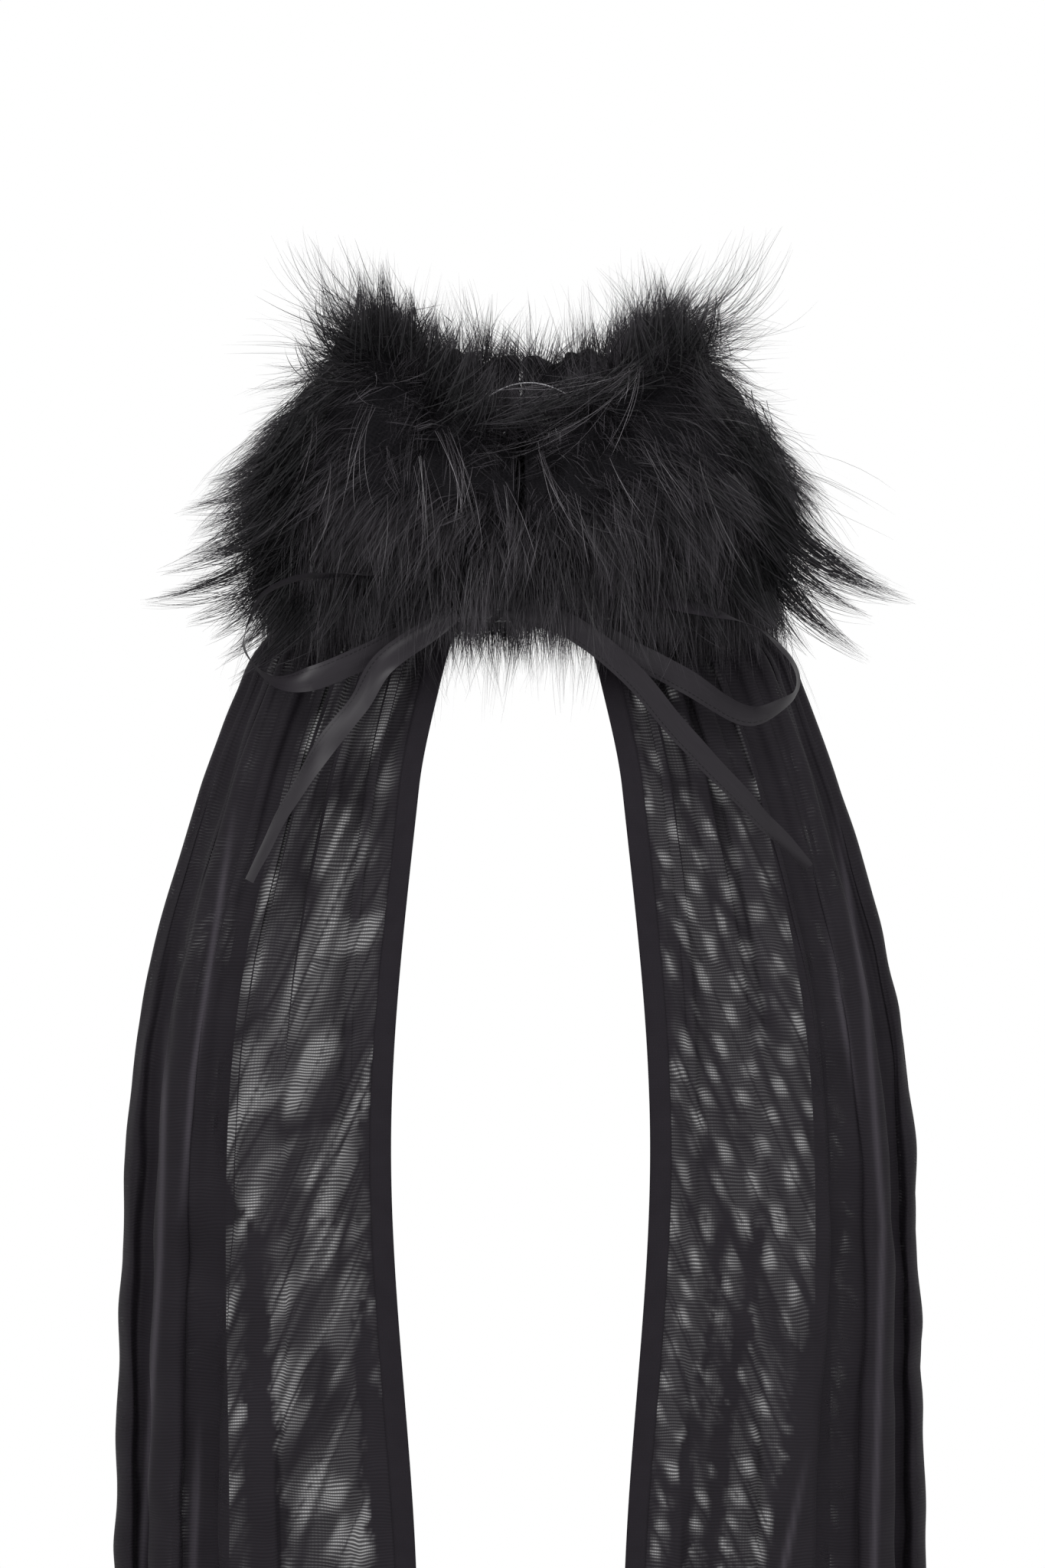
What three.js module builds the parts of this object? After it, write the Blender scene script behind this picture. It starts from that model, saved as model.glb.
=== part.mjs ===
// A long-pile collar that closes at the front with a ribbon bow, and two sheer panels that hang from its neck seam.
// Millimetres, +Z up, the front faces -Y. The origin is the centre of the neck opening, level with the bow.
// The collar is a left and a right half, joined at the centre back. Each is a pile layer on a knitted backing,
// a wadding and a satin under collar, rolled over from a stand against the neck into a fall over the shoulders.
import * as THREE from "three";

// Neck ring. Angles run from 0 at the centre front to 180 at the centre back.
const SEAM_RADIUS = 64; // neck seam, across the shoulders
const SEAM_HEIGHT = 6;
const DEPTH_RATIO = 0.95; // front-to-back size of the ring over its side-to-side size
const FRONT_GAP_DEG = 1.5; // each half stops this far short of the centre front
const BACK_GAP_DEG = 1; // and this far short of the centre back seam
const CENTRE_CLEARANCE = 0.5; // no layer comes nearer than this to the centre plane

// Collar section: heights and radii at the front, side and back of the ring.
const ROLL_HEIGHT = { front: 100, side: 170, back: 150 };
const ROLL_RADIUS = { front: 92, side: 96, back: 88 };
const ROLL_HALF_WIDTH = 19; // half the distance between stand and fall, at the roll
const FALL_RADIUS = { front: 128, side: 150, back: 135 };
const FALL_EDGE_HEIGHT = { front: 46, side: 44, back: 40 };
const FALL_BULGE = 5; // how far the fall stands out between the roll and its edge

// Collar layers, counted from the outer face of the backing.
const LAYER_GAP = 0.4;
const BACKING_THICKNESS = 1.6;
const WADDING_THICKNESS = 3;
const LINING_THICKNESS = 1.2;
const PILE_AT_NECK = 8; // pile flattened against the neck
const PILE_AT_ROLL = 52; // pile standing up off the roll
const PILE_AT_FALL = 34; // pile lying over the fall

// Bindings, tapes and the hanging loop.
const BINDING_THICKNESS = 2.4;
const SEWN_GAP = 1; // header and tape stand this far off the under collar
const HEADER_THICKNESS = 1.6;
const HEADER_DEPTH = 0.1; // share of the section line that the header is sewn over
const TAPE_THICKNESS = 1.2;
const TAPE_HALF_DEG = 4;
const TAPE_TOP = 0.34; // share of the section line that the centre back tape covers
const LOOP_CORD_DIAMETER = 1.4;
const LOOP_LEFT_DEG = 146; // where the loop is caught into the pile, to the left
const LOOP_RIGHT_DEG = 126; // and to the right
const LOOP_RISE = 11; // how far its middle stands above its ends
const LOOP_SLACK = 0.97; // its middle lies at this share of its ends' distance from the neck's middle
const LOOP_AT = 0.42; // how far up the section line the loop lies
const LOOP_CLEARANCE = 0.5; // clear space between the cord and the pile at the back of the neck

// Sheer panels. Each edge is a list of [depth below the neck seam, distance from the middle of the body].
const PANEL_LENGTH = 1000;
const PANEL_TOP = 20; // the loose cloth starts this far below the seam
const PANEL_THICKNESS = 1;
const INNER_EDGE = [[0, 0.6 * SEAM_RADIUS], [50, 52], [120, 66], [350, 84], [620, 68], [PANEL_LENGTH, 56]];
const OUTER_EDGE = [
  [0, SEAM_RADIUS + 9], [10, 145], [25, 172], [54, 187], [120, 211], [240, 245], [350, 259], [620, 266],
  [PANEL_LENGTH, 276],
];
const HALF_DEPTH = [[0, SEAM_RADIUS - 5], [50, 92], [120, 104], [350, 108], [PANEL_LENGTH, 106]];
const PANEL_WRAP_DEG = 140; // how far the panel runs round the arm, from its front edge
const HEM_WIDTH = 13;
const HEM_THICKNESS = 1.6;
const BOTTOM_HEM_DEPTH = 16;

// Ribbon bow.
const RIBBON_WIDTH = 16;
const RIBBON_THICKNESS = 0.8;
const RIBBON_START_GAP = 4; // room for a slanting ribbon end beside the knot
const KNOT = { x: -26, y: -120, z: 3, width: 22, depth: 18, height: 15, round: 5 };
const TIE_START_Y = -SEAM_RADIUS * DEPTH_RATIO - 13; // the ties are sewn just in front of the neck seam
const LOOP_LAYER_Y = -116; // the bow's loops lie behind its tails
const TAIL_LAYER_Y = -127;

const FABRIC = {
  pile: { color: 0x0d0c0f, roughness: 0.75, metalness: 0 },
  backing: { color: 0x16151a, roughness: 0.95, metalness: 0 },
  wadding: { color: 0x8b8a86, roughness: 1, metalness: 0 },
  satin: { color: 0x1b191f, roughness: 0.4, metalness: 0 },
  mesh: { color: 0x24212a, roughness: 0.8, metalness: 0 },
  hem: { color: 0x18161d, roughness: 0.75, metalness: 0 },
  ribbon: { color: 0x2a2730, roughness: 0.35, metalness: 0 },
  thread: { color: 0xb9b7bd, roughness: 0.5, metalness: 0 },
};

const part = new THREE.Group();

function addPiece(name, fabric, geometry) {
  const mesh = new THREE.Mesh(geometry, new THREE.MeshStandardMaterial(FABRIC[fabric]));
  mesh.name = name;
  part.add(mesh);
}

// A value that differs at the front, side and back of the ring, eased between them.
function roundRing(size, degrees) {
  const end = degrees < 90 ? size.front : size.back;
  return size.side + (end - size.side) * Math.cos(THREE.MathUtils.degToRad(degrees)) ** 2;
}

// A smooth value through [depth, value] pairs.
function atDepth(pairs, depth) {
  const last = pairs.length - 1;
  const slope = (i) => {
    const before = pairs[Math.max(i - 1, 0)];
    const after = pairs[Math.min(i + 1, last)];
    return (after[1] - before[1]) / (after[0] - before[0]);
  };
  const found = pairs.findIndex((pair) => pair[0] >= depth);
  const high = found < 0 ? last : Math.max(found, 1);
  const [d0, v0] = pairs[high - 1];
  const [d1, v1] = pairs[high];
  const span = d1 - d0;
  const f = (depth - d0) / span;
  const rise = f * f * (3 - 2 * f);
  const leave = f * (1 - f) ** 2 * span;
  const arrive = f * f * (f - 1) * span;
  return v0 + (v1 - v0) * rise + slope(high - 1) * leave + slope(high) * arrive;
}

// One closed body between two faces. face(u, v, k) gives the first face at k = 0 and the second at k = 1.
function slab(face, uSteps, vSteps) {
  const corners = [];
  const triangles = [];
  const index = (i, j, k) => (k * (uSteps + 1) + i) * (vSteps + 1) + j;
  for (const k of [0, 1]) {
    for (let i = 0; i <= uSteps; i++) {
      for (let j = 0; j <= vSteps; j++) corners.push(face(i / uSteps, j / vSteps, k));
    }
  }
  const quad = (a, b, c, d) => triangles.push(a, b, c, a, c, d);
  for (let i = 0; i < uSteps; i++) {
    for (let j = 0; j < vSteps; j++) {
      quad(index(i, j, 0), index(i + 1, j, 0), index(i + 1, j + 1, 0), index(i, j + 1, 0));
      quad(index(i, j, 1), index(i, j + 1, 1), index(i + 1, j + 1, 1), index(i + 1, j, 1));
    }
  }
  for (let i = 0; i < uSteps; i++) {
    quad(index(i, 0, 0), index(i, 0, 1), index(i + 1, 0, 1), index(i + 1, 0, 0));
    quad(index(i, vSteps, 0), index(i + 1, vSteps, 0), index(i + 1, vSteps, 1), index(i, vSteps, 1));
  }
  for (let j = 0; j < vSteps; j++) {
    quad(index(0, j, 0), index(0, j + 1, 0), index(0, j + 1, 1), index(0, j, 1));
    quad(index(uSteps, j, 0), index(uSteps, j, 1), index(uSteps, j + 1, 1), index(uSteps, j + 1, 0));
  }
  let volume = 0;
  for (let i = 0; i < triangles.length; i += 3) {
    const [a, b, c] = [0, 1, 2].map((n) => corners[triangles[i + n]]);
    volume += a.dot(new THREE.Vector3().crossVectors(b, c));
  }
  if (volume < 0) triangles.reverse();
  const geometry = new THREE.BufferGeometry().setFromPoints(corners);
  geometry.setIndex(triangles);
  geometry.computeVertexNormals();
  return geometry;
}

// A slab whose faces lie at two distances off a surface. Flip turns the surface's own normal round.
function layerOf(surface, near, far, uSteps, vSteps, flip = 1) {
  const small = 1e-3;
  const within = (value) => THREE.MathUtils.clamp(value, 0, 1);
  const distance = (value, u, v) => (typeof value === "function" ? value(u, v) : value);
  return slab(
    (u, v, k) => {
      const alongU = surface(within(u + small), v).sub(surface(within(u - small), v));
      const alongV = surface(u, within(v + small)).sub(surface(u, within(v - small)));
      const normal = alongU.cross(alongV).normalize().multiplyScalar(flip);
      return surface(u, v).addScaledVector(normal, distance(k ? far : near, u, v));
    },
    uSteps,
    vSteps,
  );
}

// The collar's section line at one ring angle, from the neck seam up the stand, over the roll and down the fall.
function sectionLine(degrees) {
  const rollHeight = roundRing(ROLL_HEIGHT, degrees);
  const rollRadius = roundRing(ROLL_RADIUS, degrees);
  const fallRadius = roundRing(FALL_RADIUS, degrees);
  const edgeHeight = roundRing(FALL_EDGE_HEIGHT, degrees);
  const shoulder = rollHeight - ROLL_HALF_WIDTH;
  return new THREE.SplineCurve([
    new THREE.Vector2(SEAM_RADIUS, SEAM_HEIGHT),
    new THREE.Vector2((SEAM_RADIUS + rollRadius - ROLL_HALF_WIDTH) / 2, (SEAM_HEIGHT + shoulder) / 2),
    new THREE.Vector2(rollRadius - ROLL_HALF_WIDTH, shoulder),
    new THREE.Vector2(rollRadius, rollHeight),
    new THREE.Vector2(rollRadius + ROLL_HALF_WIDTH, shoulder),
    new THREE.Vector2(fallRadius + FALL_BULGE, (edgeHeight + shoulder) / 2),
    new THREE.Vector2(fallRadius, edgeHeight),
  ]);
}

function onRing(side, degrees, radius, height) {
  const angle = THREE.MathUtils.degToRad(degrees);
  const y = -radius * DEPTH_RATIO * Math.cos(angle);
  return new THREE.Vector3(side * radius * Math.sin(angle), y, height);
}

// The outer face of one half's backing: u runs from the front to the back, v along the section line.
function collarFace(side, fromDeg = FRONT_GAP_DEG, toDeg = 180 - BACK_GAP_DEG, vFrom = 0, vTo = 1) {
  return (u, v) => {
    const degrees = THREE.MathUtils.lerp(fromDeg, toDeg, u);
    const point = sectionLine(degrees).getPoint(THREE.MathUtils.lerp(vFrom, vTo, v));
    return onRing(side, degrees, point.x, point.y);
  };
}

// Moves the corners of one half's layer that lean over the centre plane back to their own side.
function keepToSide(geometry, side) {
  const corners = geometry.getAttribute("position");
  for (let i = 0; i < corners.count; i++) {
    corners.setX(i, side * Math.max(side * corners.getX(i), CENTRE_CLEARANCE));
  }
  return geometry;
}

// Pile reach off the backing: short against the neck, longest on the roll.
function pileDepth(u, v) {
  const rollAt = 0.5;
  const onRoll = 1 - Math.abs(v - rollAt) / rollAt;
  const [edge, falloff] = v < rollAt ? [PILE_AT_NECK, 3] : [PILE_AT_FALL, 1.5];
  return edge + (PILE_AT_ROLL - edge) * onRoll ** falloff;
}

// The hanging panel: a point at one depth below the seam and one angle round the arm.
function panelPoint(side, depth, degrees) {
  const angle = THREE.MathUtils.degToRad(degrees);
  const inner = atDepth(INNER_EDGE, depth);
  const outer = atDepth(OUTER_EDGE, depth);
  const x = inner + (outer - inner) * Math.sin(angle);
  return new THREE.Vector3(side * x, -atDepth(HALF_DEPTH, depth) * Math.cos(angle), SEAM_HEIGHT - depth);
}

// The angle that a width along the cloth covers at its front edge.
function hemDegrees(depth, width) {
  const reach = atDepth(OUTER_EDGE, depth) - atDepth(INNER_EDGE, depth);
  return THREE.MathUtils.radToDeg(width / reach);
}

// A patch of the panel between two depths and two distances from its front and back edges.
function panelPatch(side, depthFrom, depthTo, startDeg, endDeg) {
  return (u, v) => {
    const depth = depthFrom + (depthTo - depthFrom) * u ** 1.4;
    return panelPoint(side, depth, THREE.MathUtils.lerp(startDeg(depth), endDeg(depth), v));
  };
}

// A ribbon along a route of [x, y, z, turn] points. Turn is 0 where it lies flat to the front, 90 where edge-on.
function ribbonFace(route, width) {
  const path = new THREE.CatmullRomCurve3(route.map(([x, y, z]) => new THREE.Vector3(x, y, z)));
  const turns = route.map((stop) => THREE.MathUtils.degToRad(stop[3]));
  return (u, v) => {
    const tangent = path.getTangent(u);
    const across = new THREE.Vector3(0, -1, 0).cross(tangent).normalize();
    const place = u * (turns.length - 1);
    const before = Math.min(Math.floor(place), turns.length - 2);
    const turn = THREE.MathUtils.lerp(turns[before], turns[before + 1], place - before);
    across.applyAxisAngle(tangent, turn);
    return path.getPoint(u).addScaledVector(across, (v - 0.5) * width);
  };
}

function addRibbon(name, route, steps, width = RIBBON_WIDTH) {
  const half = RIBBON_THICKNESS / 2;
  addPiece(name, "ribbon", layerOf(ribbonFace(route, width), -half, half, steps, 1));
}

// Collar halves.
for (const [word, side] of [["left", -1], ["right", 1]]) {
  const layer = (near, far) => keepToSide(layerOf(collarFace(side), near, far, 12, 12, -side), side);
  const backingFace = -BACKING_THICKNESS;
  const waddingTop = backingFace - LAYER_GAP;
  const waddingFace = waddingTop - WADDING_THICKNESS;
  const liningTop = waddingFace - LAYER_GAP;
  const liningFace = liningTop - LINING_THICKNESS;
  addPiece(`pile_${word}`, "pile", layer(LAYER_GAP, pileDepth));
  addPiece(`backing_${word}`, "backing", layer(0, backingFace));
  addPiece(`wadding_${word}`, "wadding", layer(waddingTop, waddingFace));
  addPiece(`under_collar_${word}`, "satin", layer(liningTop, liningFace));

  // Neck binding: closes the raw lower edges of all four layers.
  const binding = (u, v, k) => {
    const degrees = THREE.MathUtils.lerp(FRONT_GAP_DEG, 180 - BACK_GAP_DEG, u);
    const radius = SEAM_RADIUS - PILE_AT_NECK / 2 + v * (PILE_AT_NECK / 2 - liningFace);
    return onRing(side, degrees, radius, -BINDING_THICKNESS * k);
  };
  addPiece(`neck_binding_${word}`, "satin", slab(binding, 14, 1));

  // Panel header: the gathered top of the panel, sewn to the under collar.
  const header = collarFace(side, 32, 128, 0.01, HEADER_DEPTH);
  const headerTop = liningFace - SEWN_GAP;
  addPiece(
    `panel_header_${word}`,
    "hem",
    layerOf(header, headerTop, headerTop - HEADER_THICKNESS, 10, 1, -side),
  );
}

// Sheer panels and their hems.
for (const [word, side] of [["left", -1], ["right", 1]]) {
  const hemInset = (depth) => hemDegrees(depth, HEM_WIDTH + LAYER_GAP);
  const clothEnd = PANEL_LENGTH - BOTTOM_HEM_DEPTH;
  const cloth = panelPatch(side, PANEL_TOP, clothEnd - LAYER_GAP, hemInset, (d) => PANEL_WRAP_DEG - hemInset(d));
  const front = panelPatch(side, PANEL_TOP, PANEL_LENGTH, () => 0, (d) => hemDegrees(d, HEM_WIDTH));
  const back = panelPatch(
    side,
    PANEL_TOP,
    PANEL_LENGTH,
    (d) => PANEL_WRAP_DEG - hemDegrees(d, HEM_WIDTH),
    () => PANEL_WRAP_DEG,
  );
  const bottom = panelPatch(side, clothEnd, PANEL_LENGTH, hemInset, (d) => PANEL_WRAP_DEG - hemInset(d));
  const [cut, hem] = [PANEL_THICKNESS / 2, HEM_THICKNESS / 2];
  addPiece(`mesh_panel_${word}`, "mesh", layerOf(cloth, -cut, cut, 14, 16));
  addPiece(`front_hem_${word}`, "hem", layerOf(front, -hem, hem, 14, 1));
  addPiece(`back_hem_${word}`, "hem", layerOf(back, -hem, hem, 14, 1));
  addPiece(`bottom_hem_${word}`, "hem", layerOf(bottom, -hem, hem, 1, 16));
}

// Centre back: a stay tape behind the seam, and a fine loop across the neck to hang the collar by.
const tapeOffset = BACKING_THICKNESS + WADDING_THICKNESS + LINING_THICKNESS + 2 * LAYER_GAP + SEWN_GAP;
const tape = collarFace(1, 180 - TAPE_HALF_DEG, 180 + TAPE_HALF_DEG, 0.02, TAPE_TOP);
addPiece("centre_back_tape", "satin", layerOf(tape, -tapeOffset, -tapeOffset - TAPE_THICKNESS, 2, 5, -1));

const loopPlace = sectionLine(180).getPoint(LOOP_AT);
const loopRadius = loopPlace.x - pileDepth(1, LOOP_AT) - LOOP_CLEARANCE;
const loopMiddle = (LOOP_LEFT_DEG - LOOP_RIGHT_DEG) / 2;
const loopPath = new THREE.CatmullRomCurve3([
  onRing(-1, LOOP_LEFT_DEG, loopRadius, loopPlace.y),
  onRing(-1, 180 + loopMiddle, loopRadius * LOOP_SLACK, loopPlace.y + LOOP_RISE),
  onRing(1, LOOP_RIGHT_DEG, loopRadius, loopPlace.y),
]);
const cordSection = new THREE.Shape().absarc(0, 0, LOOP_CORD_DIAMETER / 2, 0, 2 * Math.PI);
addPiece(
  "hanging_loop",
  "thread",
  new THREE.ExtrudeGeometry(cordSection, { extrudePath: loopPath, steps: 12, curveSegments: 6 }),
);

// Ribbon bow: a knot, two ties that run back under the pile, and a loop and a tail on each side.
const knotFace = new THREE.Shape();
const [knotHalfWidth, knotHalfHeight] = [KNOT.width / 2 - KNOT.round, KNOT.height / 2 - KNOT.round];
knotFace.absarc(knotHalfWidth, knotHalfHeight, KNOT.round / 2, 0, Math.PI / 2);
knotFace.absarc(-knotHalfWidth, knotHalfHeight, KNOT.round / 2, Math.PI / 2, Math.PI);
knotFace.absarc(-knotHalfWidth, -knotHalfHeight, KNOT.round / 2, Math.PI, 1.5 * Math.PI);
knotFace.absarc(knotHalfWidth, -knotHalfHeight, KNOT.round / 2, 1.5 * Math.PI, 2 * Math.PI);
const knot = new THREE.ExtrudeGeometry(knotFace, {
  depth: KNOT.depth - KNOT.round,
  bevelThickness: KNOT.round / 2,
  bevelSize: KNOT.round / 2,
  bevelSegments: 2,
  curveSegments: 3,
});
knot.translate(0, 0, -(KNOT.depth - KNOT.round) / 2).rotateX(Math.PI / 2).translate(KNOT.x, KNOT.y, KNOT.z);
addPiece("bow_knot", "ribbon", knot);

const knotBack = KNOT.y + KNOT.depth / 2 + LAYER_GAP;
addRibbon("tie_left", [[-12, TIE_START_Y, 1, 60], [-18, -90, -2, 30], [-24, knotBack, 2, 0]], 5, RIBBON_WIDTH / 2);
addRibbon("tie_right", [[12, TIE_START_Y, 1, -60], [8, -90, -2, -30], [0, knotBack, 2, 0]], 5, RIBBON_WIDTH / 2);

const knotLeft = KNOT.x - KNOT.width / 2 - RIBBON_START_GAP;
const knotRight = KNOT.x + KNOT.width / 2 + RIBBON_START_GAP;
const loopY0 = LOOP_LAYER_Y;
const tailY0 = TAIL_LAYER_Y;
addRibbon("bow_loop_left", [
  [knotLeft, loopY0, 2, 0], [-62, loopY0, -8, 0], [-101, loopY0, -28, 0], [-136, loopY0, -42, 10],
  [-161, loopY0, -43, 60], [-179, loopY0, -20, 90], [-168, loopY0, 10, 90], [-136, loopY0, 24, 90],
  [-100, loopY0, 26, 90], [-60, loopY0, 24, 60], [knotLeft, loopY0, 17, 30],
], 26);
addRibbon("bow_tail_left", [
  [knotLeft, tailY0, 0, 0], [-60, tailY0, -12, 0], [-88, tailY0, -32, 0], [-104, tailY0, -57, 0],
  [-128, tailY0, -88, 0], [-160, tailY0, -140, 0], [-176, tailY0, -173, 0],
], 14);
addRibbon("bow_loop_right", [
  [knotRight, loopY0, 3, 0], [20, loopY0, 1, 0], [56, loopY0, -17, 0], [106, loopY0, -43, 0],
  [150, loopY0, -66, 40], [178, loopY0, -52, 90], [175, loopY0, -28, 90], [140, loopY0, -4, 90],
  [100, loopY0, 7, 60], [56, loopY0, 15, 30], [20, loopY0, 20, 20],
], 26);
addRibbon("bow_tail_right", [
  [knotRight, tailY0, 1, 0], [26, tailY0, -6, 0], [66, tailY0, -34, 0], [106, tailY0, -80, 0],
  [146, tailY0, -122, 0], [186, tailY0, -165, 0],
], 14);

export default part;
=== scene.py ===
"""A long-pile collar with two sheer hanging panels and a ribbon bow. Metres, +Z up, the bow faces -Y."""

import math

import bpy
import numpy as np
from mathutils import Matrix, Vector


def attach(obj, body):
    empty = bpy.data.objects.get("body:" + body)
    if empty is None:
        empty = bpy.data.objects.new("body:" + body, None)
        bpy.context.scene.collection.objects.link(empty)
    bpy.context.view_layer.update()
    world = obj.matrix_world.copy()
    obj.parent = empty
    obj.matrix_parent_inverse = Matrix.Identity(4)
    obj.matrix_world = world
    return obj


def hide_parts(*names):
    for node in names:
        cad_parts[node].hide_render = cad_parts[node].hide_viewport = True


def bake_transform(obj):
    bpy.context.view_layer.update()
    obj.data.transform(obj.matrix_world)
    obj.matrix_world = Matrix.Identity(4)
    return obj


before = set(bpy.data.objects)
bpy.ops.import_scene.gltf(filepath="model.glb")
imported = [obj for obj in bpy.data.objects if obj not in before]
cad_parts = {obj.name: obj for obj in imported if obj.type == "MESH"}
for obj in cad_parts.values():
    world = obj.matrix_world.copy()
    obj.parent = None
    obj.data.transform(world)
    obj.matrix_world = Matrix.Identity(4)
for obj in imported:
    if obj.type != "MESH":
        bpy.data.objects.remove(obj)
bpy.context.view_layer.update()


# ---------------------------------------------------------------------------------------------------------
# Studio: a seamless white surround, one large soft key lamp above on the left, a weaker one on the right
# and a strip behind, over a pale painted floor.
SURROUND_WHITE = (1.0, 1.0, 1.0, 1.0)
SURROUND_LIGHT = 0.55
VIEW_DISTANCE = 6.0
VIEW_HEIGHT = 1.024
VIEW_CENTRE = Vector((0.00125, -0.07, -0.1105))
FLOOR_SIZE = 2.6
FLOOR_LEVEL = -1.0
SOFT_LAMPS = {
    "key_lamp": {"at": (-1.3, -2.0, 1.7), "size": 1.6, "power": 42},
    "fill_lamp": {"at": (1.7, -1.7, 0.5), "size": 1.4, "power": 16},
    "back_lamp": {"at": (0.2, 1.8, 1.5), "size": 1.2, "power": 24},
}

world = bpy.data.worlds.new("studio")
bpy.context.scene.world = world
world.use_nodes = True
world_nodes = world.node_tree.nodes
world_nodes.clear()
seen_white = world_nodes.new("ShaderNodeBackground")
seen_white.inputs["Color"].default_value = SURROUND_WHITE
cast_light = world_nodes.new("ShaderNodeBackground")
cast_light.inputs["Color"].default_value = SURROUND_WHITE
cast_light.inputs["Strength"].default_value = SURROUND_LIGHT
either = world_nodes.new("ShaderNodeMixShader")
ray_kind = world_nodes.new("ShaderNodeLightPath")
world_out = world_nodes.new("ShaderNodeOutputWorld")
world.node_tree.links.new(ray_kind.outputs["Is Camera Ray"], either.inputs["Fac"])
world.node_tree.links.new(cast_light.outputs["Background"], either.inputs[1])
world.node_tree.links.new(seen_white.outputs["Background"], either.inputs[2])
world.node_tree.links.new(either.outputs["Shader"], world_out.inputs["Surface"])

for lamp_name, lamp in SOFT_LAMPS.items():
    light = bpy.data.lights.new(lamp_name, "AREA")
    light.size = lamp["size"]
    light.energy = lamp["power"]
    holder = bpy.data.objects.new(lamp_name, light)
    holder.location = lamp["at"]
    holder.rotation_euler = (-Vector(lamp["at"])).to_track_quat("-Z", "Y").to_euler()
    bpy.context.scene.collection.objects.link(holder)

camera = bpy.data.objects.new("camera", bpy.data.cameras.new("camera"))
camera.location = VIEW_CENTRE - Vector((0, VIEW_DISTANCE, 0))
camera.rotation_euler = (math.radians(90), 0, 0)
camera.data.lens = camera.data.sensor_width * VIEW_DISTANCE / VIEW_HEIGHT
camera.data.clip_end = 50
bpy.context.scene.collection.objects.link(camera)
bpy.context.scene.camera = camera
bpy.context.scene.view_settings.view_transform = "Standard"
bpy.context.scene.cycles.transparent_max_bounces = 24


def new_material(name, roughness, specular):
    """A material with an empty tree but for its shader, which is returned with the tree."""
    material = bpy.data.materials.new(name)
    material.use_nodes = True
    tree = material.node_tree
    tree.nodes.clear()
    shader = tree.nodes.new("ShaderNodeBsdfPrincipled")
    shader.inputs["Roughness"].default_value = roughness
    shader.inputs["Specular IOR Level"].default_value = specular
    output = tree.nodes.new("ShaderNodeOutputMaterial")
    tree.links.new(shader.outputs["BSDF"], output.inputs["Surface"])
    return material, tree, shader


def mesh_piece(name, points, quads, material, uv=None, uv_name="UVMap", smooth=True):
    """A mesh object from an array of points and one of quads, with a UV place for each point."""
    mesh = bpy.data.meshes.new(name)
    quads = np.asarray(quads, np.int32)
    mesh.vertices.add(len(points))
    mesh.vertices.foreach_set("co", np.asarray(points, np.float32).ravel())
    mesh.loops.add(quads.size)
    mesh.loops.foreach_set("vertex_index", quads.ravel())
    mesh.polygons.add(len(quads))
    mesh.polygons.foreach_set("loop_start", np.arange(0, quads.size, 4, dtype=np.int32))
    mesh.polygons.foreach_set("use_smooth", np.full(len(quads), smooth))
    if uv is not None:
        layer = mesh.uv_layers.new(name=uv_name)
        layer.data.foreach_set("uv", np.asarray(uv, np.float32)[quads.ravel()].ravel())
    mesh.update(calc_edges=True)
    mesh.validate()
    mesh.materials.append(material)
    piece = bpy.data.objects.new(name, mesh)
    bpy.context.scene.collection.objects.link(piece)
    return piece


def grid_quads(rows, columns):
    """The quads of a grid of points, rows by columns."""
    index = np.arange(rows * columns).reshape(rows, columns)
    corners = (index[:-1, :-1], index[1:, :-1], index[1:, 1:], index[:-1, 1:])
    return np.stack(corners, axis=-1).reshape(-1, 4)


floor_paint, floor_tree, floor_shader = new_material("floor_paint", 0.7, 0.2)
floor_noise = floor_tree.nodes.new("ShaderNodeTexNoise")
floor_noise.inputs["Scale"].default_value = 3.0
floor_tone = floor_tree.nodes.new("ShaderNodeValToRGB")
floor_tone.color_ramp.elements[0].color = (0.80, 0.80, 0.80, 1)
floor_tone.color_ramp.elements[1].color = (0.86, 0.86, 0.86, 1)
floor_tree.links.new(floor_noise.outputs["Fac"], floor_tone.inputs["Fac"])
floor_tree.links.new(floor_tone.outputs["Color"], floor_shader.inputs["Base Color"])
floor_line = np.linspace(-FLOOR_SIZE / 2, FLOOR_SIZE / 2, 5)
floor_points = [(x, y, FLOOR_LEVEL) for x in floor_line for y in floor_line]
mesh_piece("floor", floor_points, grid_quads(5, 5), floor_paint)


# ---------------------------------------------------------------------------------------------------------
# Collar linings: each half is a curved strip, cut from knitted backing, laid over thin wadding and lined
# with black satin. All layers are sewn together at the neck seam and roll over as one.
SEAM_RADIUS, SEAM_HEIGHT = 0.064, 0.006
DEPTH_RATIO = 0.95
ROLL_HEIGHT = (0.100, 0.170, 0.150)
ROLL_RADIUS = (0.092, 0.096, 0.088)
ROLL_HALF_WIDTH = 0.019
FALL_RADIUS = (0.128, 0.150, 0.135)
FALL_EDGE_HEIGHT = (0.046, 0.044, 0.040)
FALL_BULGE = 0.005
FRONT_GAP_DEG, BACK_GAP_DEG = 1.5, 1.0
HALVES = {"left": -1, "right": 1}
QUARTERS = {"front": (FRONT_GAP_DEG, 90.0), "back": (90.0, 180 - BACK_GAP_DEG)}
LAYERS = {"backing": (0.0, -0.0016), "wadding": (-0.0020, -0.0050), "under_collar": (-0.0054, -0.0066)}
COLLAR_RUN_PER_DEGREE = 0.0019
SECTION_RUN = 0.3


def toward_ends(sizes, degrees):
    """A size given at the front, side and back of the ring, at any angle round it."""
    front, at_side, back = sizes
    end = np.where(degrees < 90, front, back)
    return at_side + (end - at_side) * np.cos(np.radians(degrees)) ** 2


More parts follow.
